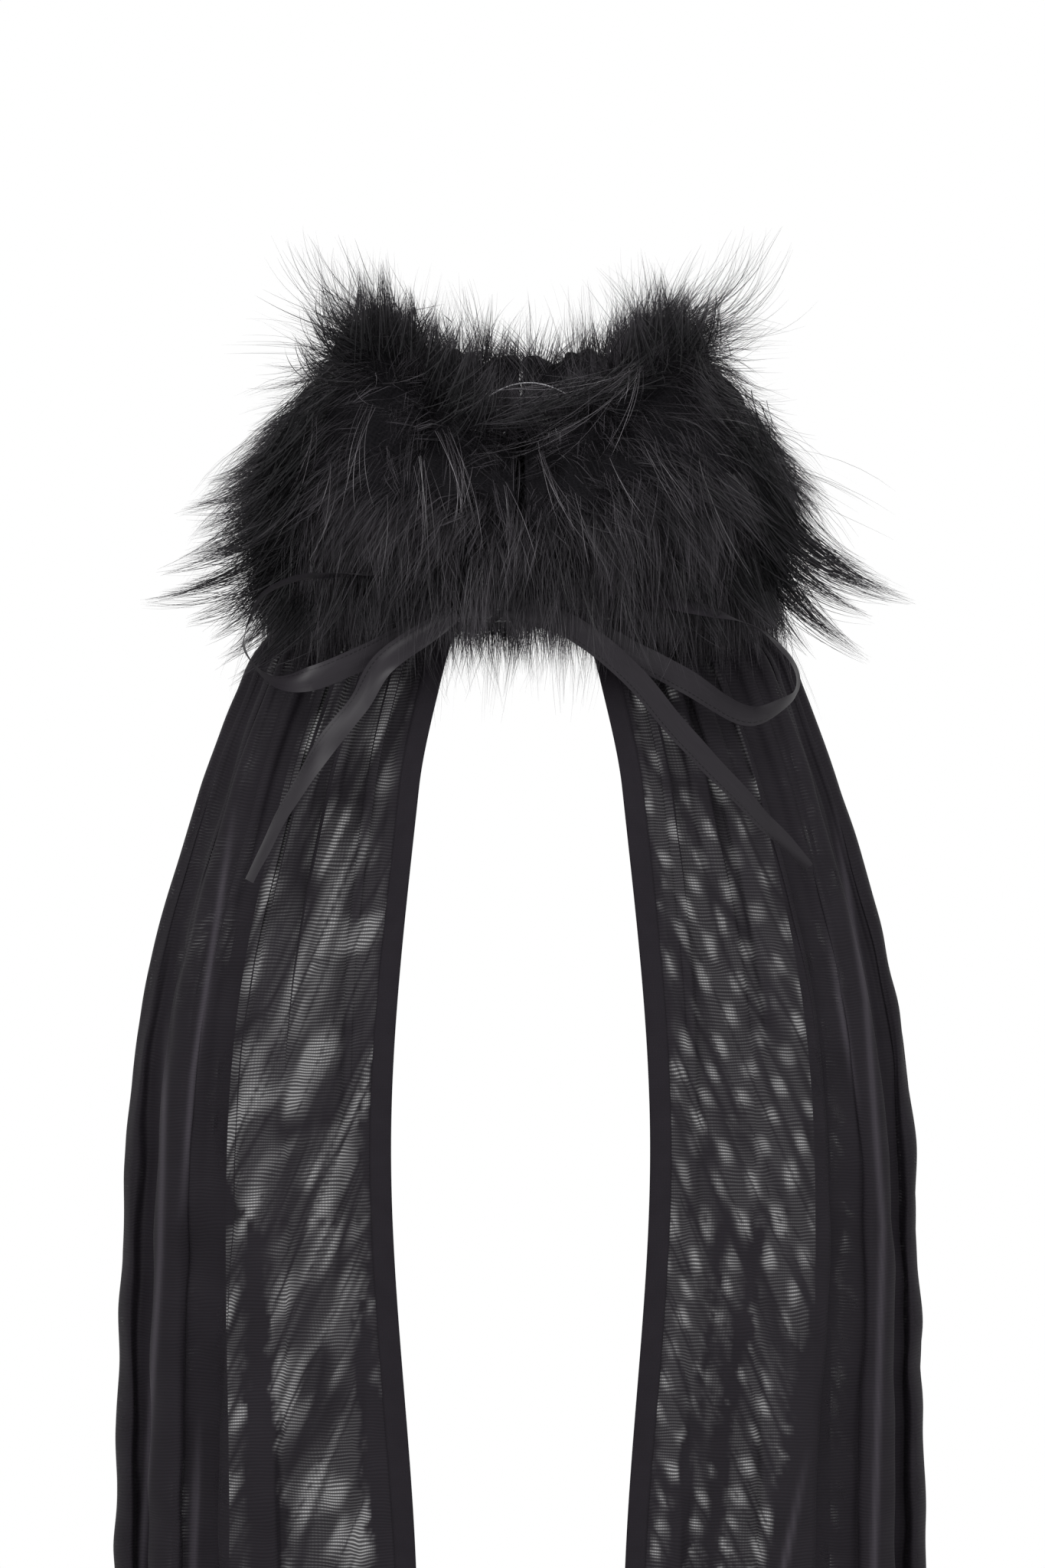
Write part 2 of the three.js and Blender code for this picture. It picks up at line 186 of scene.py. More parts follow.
def section_point(degrees, v):
    """Radius and height on the section line. v is 0 at the neck seam, 0.5 on the roll and 1 at the edge."""
    roll_height = toward_ends(ROLL_HEIGHT, degrees)
    roll_radius = toward_ends(ROLL_RADIUS, degrees)
    fall_radius = toward_ends(FALL_RADIUS, degrees)
    edge_height = toward_ends(FALL_EDGE_HEIGHT, degrees)
    shoulder = roll_height - ROLL_HALF_WIDTH
    seam_radius = np.full_like(roll_radius, SEAM_RADIUS)
    seam_height = np.full_like(roll_radius, SEAM_HEIGHT)
    stops = np.stack([
        (seam_radius, seam_height),
        ((SEAM_RADIUS + roll_radius - ROLL_HALF_WIDTH) / 2, (SEAM_HEIGHT + shoulder) / 2),
        (roll_radius - ROLL_HALF_WIDTH, shoulder),
        (roll_radius, roll_height),
        (roll_radius + ROLL_HALF_WIDTH, shoulder),
        (fall_radius + FALL_BULGE, (edge_height + shoulder) / 2),
        (fall_radius, edge_height),
    ])
    last = len(stops) - 1
    place = np.clip(v, 0, 1) * last
    at = np.minimum(np.floor(place).astype(int), last - 1)
    t = place - at
    many = np.arange(t.size).reshape(t.shape)
    flat = stops.reshape(last + 1, 2, -1)
    near = [flat[np.clip(at + k, 0, last), :, many] for k in (-1, 0, 1, 2)]
    before, here, there, after = (np.moveaxis(stop, -1, 0) for stop in near)
    leave, arrive = (there - before) / 2, (after - here) / 2
    line = (2 * here - 2 * there + leave + arrive) * t**3 + (3 * there - 3 * here - 2 * leave - arrive) * t**2
    return line + leave * t + here


def collar_point(side, degrees, v):
    """A point on the outer face of one half's backing."""
    radius, height = section_point(degrees, v)
    angle = np.radians(degrees)
    place = (side * radius * np.sin(angle), -radius * DEPTH_RATIO * np.cos(angle), height)
    return np.stack(place, axis=-1)


def unit(vectors):
    return vectors / np.maximum(np.linalg.norm(vectors, axis=-1, keepdims=True), 1e-9)


def collar_axes(side, degrees, v):
    """The point, and there the directions out through the pile, along the section and round the ring."""
    degrees, v = np.broadcast_arrays(np.asarray(degrees, float), np.asarray(v, float))
    small = 1e-3
    low, high = np.clip(v - small, 0, 1), np.clip(v + small, 0, 1)
    along = unit(collar_point(side, degrees, high) - collar_point(side, degrees, low))
    around = unit(collar_point(side, degrees + 0.1, v) - collar_point(side, degrees - 0.1, v))
    out = unit(np.cross(along, around)) * side
    return collar_point(side, degrees, v), out, along, around


def value_noise(x, y, seed):
    """Smooth noise from 0 to 1 over a plane, one cell to each unit."""
    table = np.random.default_rng(seed).random((64, 64))
    x, y = np.broadcast_arrays(np.asarray(x, float), np.asarray(y, float))
    cell_x, cell_y = np.floor(x).astype(int), np.floor(y).astype(int)
    fx, fy = x - cell_x, y - cell_y
    fx, fy = fx * fx * (3 - 2 * fx), fy * fy * (3 - 2 * fy)
    corner = [[table[(cell_x + i) % 64, (cell_y + j) % 64] for j in (0, 1)] for i in (0, 1)]
    near = corner[0][0] * (1 - fy) + corner[0][1] * fy
    far = corner[1][0] * (1 - fy) + corner[1][1] * fy
    return near * (1 - fx) + far * fx


def slab_piece(name, near, far, material, uv):
    """A closed body between two grids of points that have the same rows and columns."""
    rows, columns = near.shape[:2]
    count = rows * columns
    index = np.arange(count).reshape(rows, columns)
    face = grid_quads(rows, columns)
    loops = [index[0, :], index[:, -1], index[-1, ::-1], index[::-1, 0]]
    rim = [np.stack((edge[:-1], edge[1:], edge[1:] + count, edge[:-1] + count), axis=-1) for edge in loops]
    quads = np.concatenate([face, face[:, ::-1] + count, *rim])
    points = np.concatenate([near.reshape(-1, 3), far.reshape(-1, 3)])
    edges = points[quads]
    volume = np.einsum("ij,ij->", edges[:, 0], np.cross(edges[:, 1], edges[:, 2]))
    volume += np.einsum("ij,ij->", edges[:, 0], np.cross(edges[:, 2], edges[:, 3]))
    if volume < 0:
        quads = quads[:, ::-1]
    return mesh_piece(name, points, quads, material, np.tile(uv.reshape(-1, 2), (2, 1)))


def bend_at_back(piece, word, quarter):
    """The front quarter is attached to its half's collar body. The back quarter has its place baked into its
    points.
    """
    if quarter == "front":
        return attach(piece, f"{word}_collar")
    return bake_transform(piece)


def add_group(name, inputs, outputs):
    """A shader node group with its sockets, and its input and output nodes."""
    group = bpy.data.node_groups.new(name, "ShaderNodeTree")
    for label, (kind, value) in inputs.items():
        socket = group.interface.new_socket(label, in_out="INPUT", socket_type=kind)
        socket.default_value = value
    for label in outputs:
        group.interface.new_socket(label, in_out="OUTPUT", socket_type="NodeSocketFloat")
    return group, group.nodes.new("NodeGroupInput"), group.nodes.new("NodeGroupOutput")


def math_node(tree, operation, first, second=None, clamp=False):
    """A math node whose inputs are sockets or numbers. It returns its output socket."""
    node = tree.nodes.new("ShaderNodeMath")
    node.operation = operation
    node.use_clamp = clamp
    for position, value in enumerate((first, second)):
        if value is None:
            continue
        if isinstance(value, (int, float)):
            node.inputs[position].default_value = value
        else:
            tree.links.new(value, node.inputs[position])
    return node.outputs[0]


# Threads: warp and weft ridges that pass over and under each other. Pitch is the distance between threads.
threads, threads_in, threads_out = add_group(
    "threads",
    {"Place": ("NodeSocketVector", (0, 0, 0)), "Pitch": ("NodeSocketFloat", 0.001)},
    ("Height",),
)
threads_axes = threads.nodes.new("ShaderNodeSeparateXYZ")
threads.links.new(threads_in.outputs["Place"], threads_axes.inputs[0])
counted = [math_node(threads, "DIVIDE", threads_axes.outputs[i], threads_in.outputs["Pitch"]) for i in (0, 1)]
thread_turns = [math_node(threads, "MULTIPLY", count, math.pi) for count in counted]
warp, weft = (math_node(threads, "ABSOLUTE", math_node(threads, "SINE", turn)) for turn in thread_turns)
crossing = math_node(threads, "MULTIPLY", *(math_node(threads, "COSINE", turn) for turn in thread_turns))
warp_over = math_node(threads, "GREATER_THAN", crossing, 0.0)
weft_over = math_node(threads, "SUBTRACT", 1.0, warp_over)
warp_ridge = math_node(threads, "MULTIPLY", warp, warp_over)
weft_ridge = math_node(threads, "MULTIPLY", weft, weft_over)
threads.links.new(math_node(threads, "ADD", warp_ridge, weft_ridge), threads_out.inputs["Height"])


def uv_place(tree, map_name="UVMap"):
    """The place on the flat piece, as a socket."""
    place = tree.nodes.new("ShaderNodeUVMap")
    place.uv_map = map_name
    return place.outputs["UV"]


def split_place(tree, place):
    """The two parts of a place: across the piece and along it."""
    axes = tree.nodes.new("ShaderNodeSeparateXYZ")
    tree.links.new(place, axes.inputs[0])
    return axes.outputs["X"], axes.outputs["Y"]


def colour_between(tree, factor, first, second):
    """A mix of two colours, each a socket or a plain colour. It returns its output socket."""
    node = tree.nodes.new("ShaderNodeMix")
    node.data_type = "RGBA"
    tree.links.new(factor, node.inputs["Factor"])
    for label, colour in (("A", first), ("B", second)):
        if isinstance(colour, tuple):
            node.inputs[label].default_value = (*colour, 1)
        else:
            tree.links.new(colour, node.inputs[label])
    return node.outputs["Result"]


def add_relief(tree, shader, height, strength, distance):
    """Threads or stitches that stand up off the cloth."""
    bump = tree.nodes.new("ShaderNodeBump")
    bump.inputs["Strength"].default_value = strength
    bump.inputs["Distance"].default_value = distance
    tree.links.new(height, bump.inputs["Height"])
    tree.links.new(bump.outputs["Normal"], shader.inputs["Normal"])


def cloth_material(name, dark, light, pitch, roughness, specular, relief, sheen=0.0):
    """Woven or knitted cloth: thread relief, a colour that is lighter where the threads stand up, and a tone
    that drifts over the piece.
    """
    material, tree, shader = new_material(name, roughness, specular)
    shader.inputs["Sheen Weight"].default_value = sheen
    shader.inputs["Sheen Roughness"].default_value = 0.4
    place = uv_place(tree)
    weave = tree.nodes.new("ShaderNodeGroup")
    weave.node_tree = threads
    weave.inputs["Pitch"].default_value = pitch
    tree.links.new(place, weave.inputs["Place"])
    drift = tree.nodes.new("ShaderNodeTexNoise")
    drift.inputs["Scale"].default_value = 60.0
    drift.inputs["Detail"].default_value = 4.0
    tree.links.new(place, drift.inputs["Vector"])
    # Lighter where the threads stand up, and a tone that drifts at random over the piece.
    thread_top_tone = math_node(tree, "MULTIPLY", weave.outputs["Height"], 0.4)
    drift_tone = math_node(tree, "MULTIPLY", drift.outputs["Fac"], 0.7)
    tone = colour_between(tree, math_node(tree, "ADD", thread_top_tone, drift_tone), dark, light)
    tree.links.new(tone, shader.inputs["Base Color"])
    add_relief(tree, shader, weave.outputs["Height"], 0.5, relief)
    return material


LAYER_CLOTH = {
    "backing": cloth_material(
        "knit_backing", (0.012, 0.011, 0.013), (0.04, 0.037, 0.042), 0.0012, 0.9, 0.2, 0.0004
    ),
    "wadding": cloth_material(
        "fibre_wadding", (0.20, 0.19, 0.19), (0.42, 0.41, 0.40), 0.0008, 1.0, 0.1, 0.0006, 0.5
    ),
    "under_collar": cloth_material(
        "satin_lining", (0.010, 0.009, 0.012), (0.030, 0.027, 0.034), 0.0004, 0.38, 0.45, 0.0001
    ),
}


def patch_grid(first, second):
    """Two matching grids from a line of places each way."""
    return np.meshgrid(first, second, indexing="ij")


def ring_patch(side, degrees, v, offset):
    """Points a distance off the backing. The offset is an array or a number."""
    point, out, _, _ = collar_axes(side, degrees, v)
    return point + out * np.broadcast_to(offset, v.shape)[..., None]


def layer_grid(side, from_deg, to_deg, offset, rows, columns):
    """A grid of points a distance off the backing, with the ring angle and section place of each."""
    degrees, v = patch_grid(np.linspace(from_deg, to_deg, rows), np.linspace(0, 1, columns))
    return ring_patch(side, degrees, v, offset), degrees, v


for word, side in HALVES.items():
    for layer, (near_offset, far_offset) in LAYERS.items():
        for quarter, (from_deg, to_deg) in QUARTERS.items():
            near, degrees, v = layer_grid(side, from_deg, to_deg, near_offset, 48, 72)
            ease = 0.00025 * (value_noise(degrees / 3, v * 40, 11) - 0.5)
            far = layer_grid(side, from_deg, to_deg, far_offset + ease, 48, 72)[0]
            uv = np.stack((degrees * COLLAR_RUN_PER_DEGREE, v * SECTION_RUN), axis=-1)
            piece = slab_piece(f"{layer}_{word}_{quarter}", near, far, LAYER_CLOTH[layer], uv)
            bend_at_back(piece, word, quarter)
            if quarter == "front":
                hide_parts(f"{layer}_{word}")


# ---------------------------------------------------------------------------------------------------------
# Neck binding, panel header and centre back tape: satin strips that close and hold the raw edges. The
# header is where the panel's top is drawn up into small pleats under the collar.
NECK_RIM = (0.060, 0.0706)
BINDING_DEPTH = 0.0024
HEADER_DEG = (32.0, 128.0)
HEADER_V = (0.01, 0.10)
HEADER_OFFSET = (-0.0076, -0.0092)
PLEAT_PITCH_DEG = 2.4
PLEAT_RISE = 0.0007
TAPE_HALF_DEG = 4.0
TAPE_V = (0.02, 0.34)
TAPE_OFFSET = (-0.0076, -0.0088)
NECK_RUN_PER_DEGREE = 0.0011
TRIM_CLOTH = cloth_material(
    "satin_trim", (0.010, 0.009, 0.012), (0.032, 0.029, 0.036), 0.0003, 0.35, 0.5, 0.00008
)
GATHERED_CLOTH = cloth_material(
    "gathered_mesh", (0.008, 0.007, 0.010), (0.028, 0.025, 0.032), 0.0008, 0.7, 0.3, 0.0002, 0.2
)

for word, side in HALVES.items():
    for quarter, (from_deg, to_deg) in QUARTERS.items():
        turn, round_strip = patch_grid(np.linspace(from_deg, to_deg, 90), np.linspace(0, 1, 9))
        radius = NECK_RIM[0] + (NECK_RIM[1] - NECK_RIM[0]) * round_strip
        puckers = 0.0002 * np.sin(np.radians(turn) * 90)
        crown = BINDING_DEPTH * (0.55 + 0.45 * np.sin(np.pi * round_strip)) + puckers
        angle = np.radians(turn)
        place = (side * radius * np.sin(angle), -radius * DEPTH_RATIO * np.cos(angle), 0 * turn)
        flat = np.stack(place, axis=-1)
        uv = np.stack((turn * NECK_RUN_PER_DEGREE, round_strip * 0.011), axis=-1)
        under = flat - crown[..., None] * [0, 0, 1]
        binding = slab_piece(f"neck_binding_{word}_{quarter}", flat, under, TRIM_CLOTH, uv)
        bend_at_back(binding, word, quarter)
        if quarter == "front":
            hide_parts(f"neck_binding_{word}")

    turn, v = patch_grid(np.linspace(*HEADER_DEG, 400), np.linspace(*HEADER_V, 10))
    pleat = PLEAT_RISE * np.sin(2 * np.pi * turn / PLEAT_PITCH_DEG + 2 * value_noise(turn / 9, 0, 5))
    fade = (v - HEADER_V[0]) / (HEADER_V[1] - HEADER_V[0])
    outer = ring_patch(side, turn, v, HEADER_OFFSET[0])
    inner = ring_patch(side, turn, v, HEADER_OFFSET[1] - PLEAT_RISE - pleat * (1.2 - fade))
    uv = np.stack((turn * NECK_RUN_PER_DEGREE, v * SECTION_RUN), axis=-1)
    header = slab_piece(f"panel_header_{word}", outer, inner, GATHERED_CLOTH, uv)
    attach(header, f"{word}_collar")
    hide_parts(f"panel_header_{word}")

tape_angles = np.linspace(180 - TAPE_HALF_DEG, 180 + TAPE_HALF_DEG, 12)
turn, v = patch_grid(tape_angles, np.linspace(*TAPE_V, 60))
tape_faces = [ring_patch(1, turn, v, offset) for offset in TAPE_OFFSET]
tape_uv = np.stack((turn * NECK_RUN_PER_DEGREE, v * SECTION_RUN), axis=-1)
tape = slab_piece("centre_back_stay_tape", *tape_faces, TRIM_CLOTH, tape_uv)
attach(tape, "centre_back")
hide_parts("centre_back_tape")


# ---------------------------------------------------------------------------------------------------------
# Hanging loop: a fine pale twisted thread across the inside of the neck, caught into the pile at each end.
LOOP_THREAD = 0.0009
LOOP_TWIST = 2500
LOOP_SIDES = 8
LOOP_END_INSET = 0.0005


def twisted_thread(name, path, radius, material, around, twist):
    """A thread along a line of points, with the two ridges of its strands. Its ends are open."""
    ahead = unit(np.gradient(path, axis=0))
    side_way = unit(np.cross(ahead, [0.0, 0.37, 0.93]))
    upward = np.cross(side_way, ahead)
    angle = np.linspace(0, 2 * np.pi, around, endpoint=False)
    run = np.concatenate([[0], np.cumsum(np.linalg.norm(np.diff(path, axis=0), axis=1))])
    width = radius * (1 + 0.18 * np.cos(2 * (angle[None] - twist * run[:, None])))
    ring = side_way[:, None] * np.cos(angle)[None, :, None] + upward[:, None] * np.sin(angle)[None, :, None]
    points = (path[:, None] + ring * width[..., None]).reshape(-1, 3)
    index = np.arange(len(path) * around).reshape(len(path), around)
    ahead_index = np.roll(index, -1, axis=1)
    quads = np.stack((index[:-1], ahead_index[:-1], ahead_index[1:], index[1:]), axis=-1).reshape(-1, 4)
    uv = np.stack(np.broadcast_arrays(run[:, None], angle[None] * radius), axis=-1).reshape(-1, 2)
    return mesh_piece(name, points, quads, material, uv)


thread_material = cloth_material(
    "pale_thread", (0.42, 0.41, 0.44), (0.62, 0.61, 0.64), 0.0006, 0.6, 0.4, 0.0001
)
loop_points = np.array([vertex.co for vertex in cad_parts["hanging_loop"].data.vertices])
loop_reach = loop_points[:, 0].min() + LOOP_END_INSET, loop_points[:, 0].max() - LOOP_END_INSET
loop_stops = np.linspace(*loop_reach, 13)
nearest = [np.argsort(np.abs(loop_points[:, 0] - x))[:6] for x in loop_stops]
loop_middle = np.array([loop_points[near_stop].mean(axis=0) for near_stop in nearest])
loop_curve = [np.poly1d(np.polyfit(loop_middle[:, 0], loop_middle[:, axis], 3)) for axis in (1, 2)]
loop_x = np.linspace(loop_stops[0], loop_stops[-1], 60)
loop_path = np.stack((loop_x, loop_curve[0](loop_x), loop_curve[1](loop_x)), axis=-1)
hanging_loop = twisted_thread(
    "neck_hanging_loop", loop_path, LOOP_THREAD / 2, thread_material, LOOP_SIDES, LOOP_TWIST
)
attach(hanging_loop, "centre_back")
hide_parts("hanging_loop")


# ---------------------------------------------------------------------------------------------------------
# Pile: long glossy hair over a short soft undercoat, both black. On the stand and the roll the hair grows
# upwards, on the fall it lies outwards and down, and it gathers into pointed locks. Each hair has painted
# shade at its root and a painted highlight toward its tip, and a few hairs are painted pale as painted
# highlights.
PILE_AT_NECK, PILE_AT_ROLL, PILE_AT_FALL = 0.008, 0.052, 0.034
CORE_SHARE = 0.42


def pile_depth(v):
    """How far the pile reaches off the backing."""
    on_roll = 1 - np.abs(v - 0.5) / 0.5
    below = PILE_AT_NECK + (PILE_AT_ROLL - PILE_AT_NECK) * on_roll**3
    above = PILE_AT_FALL + (PILE_AT_ROLL - PILE_AT_FALL) * on_roll**1.5
    return np.where(v < 0.5, below, above)


def hair_material(name, root, tip, pale, roughness, specular):
    """Hair that is darkest at its root, a painted shade, and lightens into a painted highlight toward the
    tip, more for some hairs than others; a few hairs turn pale at the tip, also a painted highlight. Its map
    holds one tone for each hair and the way along it.
    """
    material, tree, shader = new_material(name, roughness, specular)
    tone, along = split_place(tree, uv_place(tree, "OFBake"))
    # Painted shade at the root and a painted highlight toward the tip, scaled by each hair's own tone.
    root_shade_tip_highlight = math_node(tree, "MULTIPLY", math_node(tree, "POWER", along, 1.6), tone)
    shaft = colour_between(tree, root_shade_tip_highlight, root, tip)
    # Painted highlight: a few hairs, those with the highest tone, turn pale toward the tip.
    rare_pale_highlight = math_node(tree, "MULTIPLY", math_node(tree, "SUBTRACT", tone, 0.9), 10.0, clamp=True)
    colour = colour_between(tree, math_node(tree, "MULTIPLY", rare_pale_highlight, along), shaft, pale)
    tree.links.new(colour, shader.inputs["Base Color"])
    return material


# Each hair material runs from a painted shade colour at the root to a painted highlight colour at the tip;
# the third colour is the pale painted highlight of a few hairs.
UNDERCOAT_HAIR = hair_material(
    "undercoat_hair", (0.004, 0.004, 0.005), (0.120, 0.110, 0.125), (0.16, 0.15, 0.165), 0.6, 0.25
)
GUARD_HAIR = hair_material(
    "guard_hair", (0.008, 0.007, 0.009), (0.11, 0.10, 0.115), (0.32, 0.30, 0.33), 0.42, 0.4
)
CORE_TUFT = cloth_material(
    "undercoat_base", (0.003, 0.003, 0.004), (0.012, 0.011, 0.013), 0.003, 0.95, 0.1, 0.002
)


def scatter(rng, count, from_deg, to_deg, v_from, v_to):
    """Ring angles and section places spread evenly over a patch of the collar."""
    cells = 40
    degrees = from_deg + (to_deg - from_deg) * (np.arange(cells) + 0.5) / cells
    v = v_from + (v_to - v_from) * (np.arange(cells) + 0.5) / cells
    degrees, v = (grid.ravel() for grid in patch_grid(degrees, v))
    across = collar_point(1, degrees + 0.5, v) - collar_point(1, degrees - 0.5, v)
    up = collar_point(1, degrees, np.minimum(v + 0.005, 1)) - collar_point(1, degrees, v - 0.005)
    area = np.linalg.norm(np.cross(across, up), axis=-1)
    cell = rng.choice(len(area), size=count, p=area / area.sum())
    jitter = rng.random((2, count)) - 0.5
    spread_deg = (to_deg - from_deg) / cells
    spread_v = (v_to - v_from) / cells
    return degrees[cell] + jitter[0] * spread_deg, v[cell] + jitter[1] * spread_v


def sweep(root, heading, length, droop, curve, steps):
    """Lines of points that start at the roots and sag as they go. Curve is a sideways pull."""
    heading = unit(heading)
    line = [root]
    for step in range(1, steps + 1):
        way = step / steps
        pull = curve * (1.2 / steps)
        pull = pull + np.array([0, 0, -1.0]) * (droop * (0.4 + 1.2 * way) / steps)[:, None]
        heading = unit(heading + pull)
        line.append(line[-1] + heading * (length / steps)[:, None])
    return np.stack(line, axis=1)


def hair_piece(name, line, width, tone, material, rng):
    """Thin tapering strips along lines of points, each turned its own way round."""
    count, stops = line.shape[:2]
    ahead = unit(np.gradient(line, axis=1))
    across = unit(np.cross(ahead, unit(rng.normal(size=(count, 1, 3)))))
    way = np.linspace(0, 1, stops)
    taper = 1 - 0.92 * way**2
    half = across * (width[:, None] * taper[None] / 2)[..., None]
    points = np.stack((line - half, line + half), axis=2).reshape(-1, 3)
    first = (np.arange(count) * stops * 2)[:, None] + np.arange(stops - 1)[None] * 2
    quads = np.stack((first, first + 1, first + 3, first + 2), axis=-1).reshape(-1, 4)
    tone_u = tone[:, None, None] * 0.98 + 0.01 + np.array([-0.004, 0.004])[None, None]
    uv = np.stack(np.broadcast_arrays(tone_u, way[None, :, None]), axis=-1).reshape(-1, 2)
    return mesh_piece(name, points, quads, material, uv, "OFBake", smooth=False)


def lie_of_pile(v):
    """How far the hair leans along the section: upright on the roll, lying down on the fall."""
    return np.interp(v, (0, 0.3, 0.44, 0.51, 0.57, 0.8, 1), (0.9, 0.8, 0.45, 0.28, 0.76, 0.72, 0.78))


def length_of_pile(v):
    """Hair length along the section."""
    lengths = (0.022, 0.034, 0.052, 0.064, 0.056, 0.066, 0.078)
    return np.interp(v, (0, 0.25, 0.42, 0.56, 0.7, 0.85, 1), lengths)


def sag_of_pile(v):
    """How strongly the hair sags: hardly where it stands, more on the fall."""
    return np.interp(v, (0, 0.51, 0.58, 1), (0.02, 0.08, 0.65, 0.85))


def locks(side, rng, from_deg, to_deg, v_from, count, hairs, reach, spread, width, gather, steps):
    """Hair gathered in locks. Each has its own lean, length and twist, and its hairs meet near the tip."""
    lock_deg, lock_v = scatter(rng, count, from_deg, to_deg, v_from, 1.0)
    lean = lie_of_pile(lock_v) + rng.normal(0, 0.12, count)
    tilt = rng.normal(0, 0.28, count)
    reach_of_lock = length_of_pile(lock_v) * reach * rng.uniform(0.7, 1.25, count)
    reach_of_lock = reach_of_lock * np.where((lock_deg > 110) & (lock_v < 0.42), 0.4, 1)
    curve = rng.normal(0, 0.22, (count, 3))
    droop = (sag_of_pile(lock_v) + 1.1 * (v_from > 0)) * rng.uniform(0.6, 1.4, count)
    tone = rng.random(count)

    def heading(out, along, around, lean, tilt):
        return out * (1 - lean)[:, None] + along * lean[:, None] + around * tilt[:, None]

    root, out, along, around = collar_axes(side, lock_deg, lock_v)
    middle = sweep(root, heading(out, along, around, lean, tilt), reach_of_lock, droop, curve, steps)
    of = np.repeat(np.arange(count), hairs)
    total = len(of)
    degrees = lock_deg[of] + rng.normal(0, np.degrees(spread / 0.12), total)
    v = np.clip(lock_v[of] + rng.normal(0, spread / 0.3, total), 0, 1)
    degrees = np.clip(degrees, FRONT_GAP_DEG if from_deg < 10 else from_deg - 6, 180 - BACK_GAP_DEG)
    root, out, along, around = collar_axes(side, degrees, v)
    root = root + out * (pile_depth(v) * rng.uniform(0, 0.15, total))[:, None]
    own_lean = lean[of] + rng.normal(0, 0.06, total)
    own_tilt = tilt[of] + rng.normal(0, 0.08, total)
    own_reach = reach_of_lock[of] * rng.uniform(0.65, 1.08, total)
    own_curve = curve[of] + rng.normal(0, 0.08, (total, 3))
    own_heading = heading(out, along, around, own_lean, own_tilt)
    line = sweep(root, own_heading, own_reach, droop[of], own_curve, steps)
    way = np.linspace(0, 1, steps + 1)
    pull = (gather * way**1.2)[None, :, None] * rng.uniform(0.6, 1.0, total)[:, None, None]
    share = (own_reach / reach_of_lock[of])[:, None, None]
    target = middle[of][:, :1] + (middle[of] - middle[of][:, :1]) * share
    line = line * (1 - pull) + target * pull
    own_tone = np.clip(tone[of] * 0.72 + rng.random(total) * 0.28, 0, 1)
    return line, np.full(total, width) * rng.uniform(0.7, 1.3, total), own_tone


def keep_close(line):
    """Hair in front and behind lies closer than hair at the sides, and the tallest hair bends at its tip."""
    for axis, free, reach in ((1, 0.145, 0.032), (2, 0.236, 0.029)):
        at = line[..., axis]
        over = np.maximum(np.abs(at) - free, 0)
        line[..., axis] = np.sign(at) * (np.minimum(np.abs(at), free) + reach * (1 - np.exp(-over / reach)))
    return line


# Each kind of hair: number of locks, hairs to a lock, where it starts on the section, length against the
# pile's, spread and thickness of a lock's hairs in metres, how far they gather, and steps along a hair.
HAIR_KINDS = {
    "undercoat": (1900, 17, 0.0, 0.85, 0.0075, 0.00072, 0.90, 3, UNDERCOAT_HAIR),
    "guard_hair": (560, 26, 0.0, 1.15, 0.0075, 0.00036, 0.88, 6, GUARD_HAIR),
    "edge_hair": (380, 22, 0.90, 0.95, 0.0070, 0.00060, 0.75, 4, UNDERCOAT_HAIR),
    "long_hair": (170, 9, 0.0, 1.45, 0.0050, 0.00028, 0.60, 8, GUARD_HAIR),
}

for word, side in HALVES.items():
    for quarter, (from_deg, to_deg) in QUARTERS.items():
        rng = np.random.default_rng({"left": 31, "right": 57}[word] + (to_deg > 100))
        near, degrees, v = layer_grid(side, from_deg, to_deg, 0.0004, 60, 80)
        lumps = 0.75 + 0.5 * value_noise(degrees / 4, v * 22, 3)
        inward = np.clip((v - 0.02) / 0.1, 0.2, 1)
        far = layer_grid(side, from_deg, to_deg, pile_depth(v) * CORE_SHARE * lumps * inward, 60, 80)[0]
        core_uv = np.stack((degrees * 0.002, v * SECTION_RUN), axis=-1)
        core = slab_piece(f"pile_core_{word}_{quarter}", near, far, CORE_TUFT, core_uv)
        bend_at_back(core, word, quarter)
        if quarter == "front":
            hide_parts(f"pile_{word}")
        for kind, (count, hairs, v_from, *shape, material) in HAIR_KINDS.items():
            line, widths, tone = locks(side, rng, from_deg, to_deg, v_from, count, hairs, *shape)
            piece = hair_piece(f"{kind}_{word}_{quarter}", keep_close(line), widths, tone, material, rng)
            bend_at_back(piece, word, quarter)

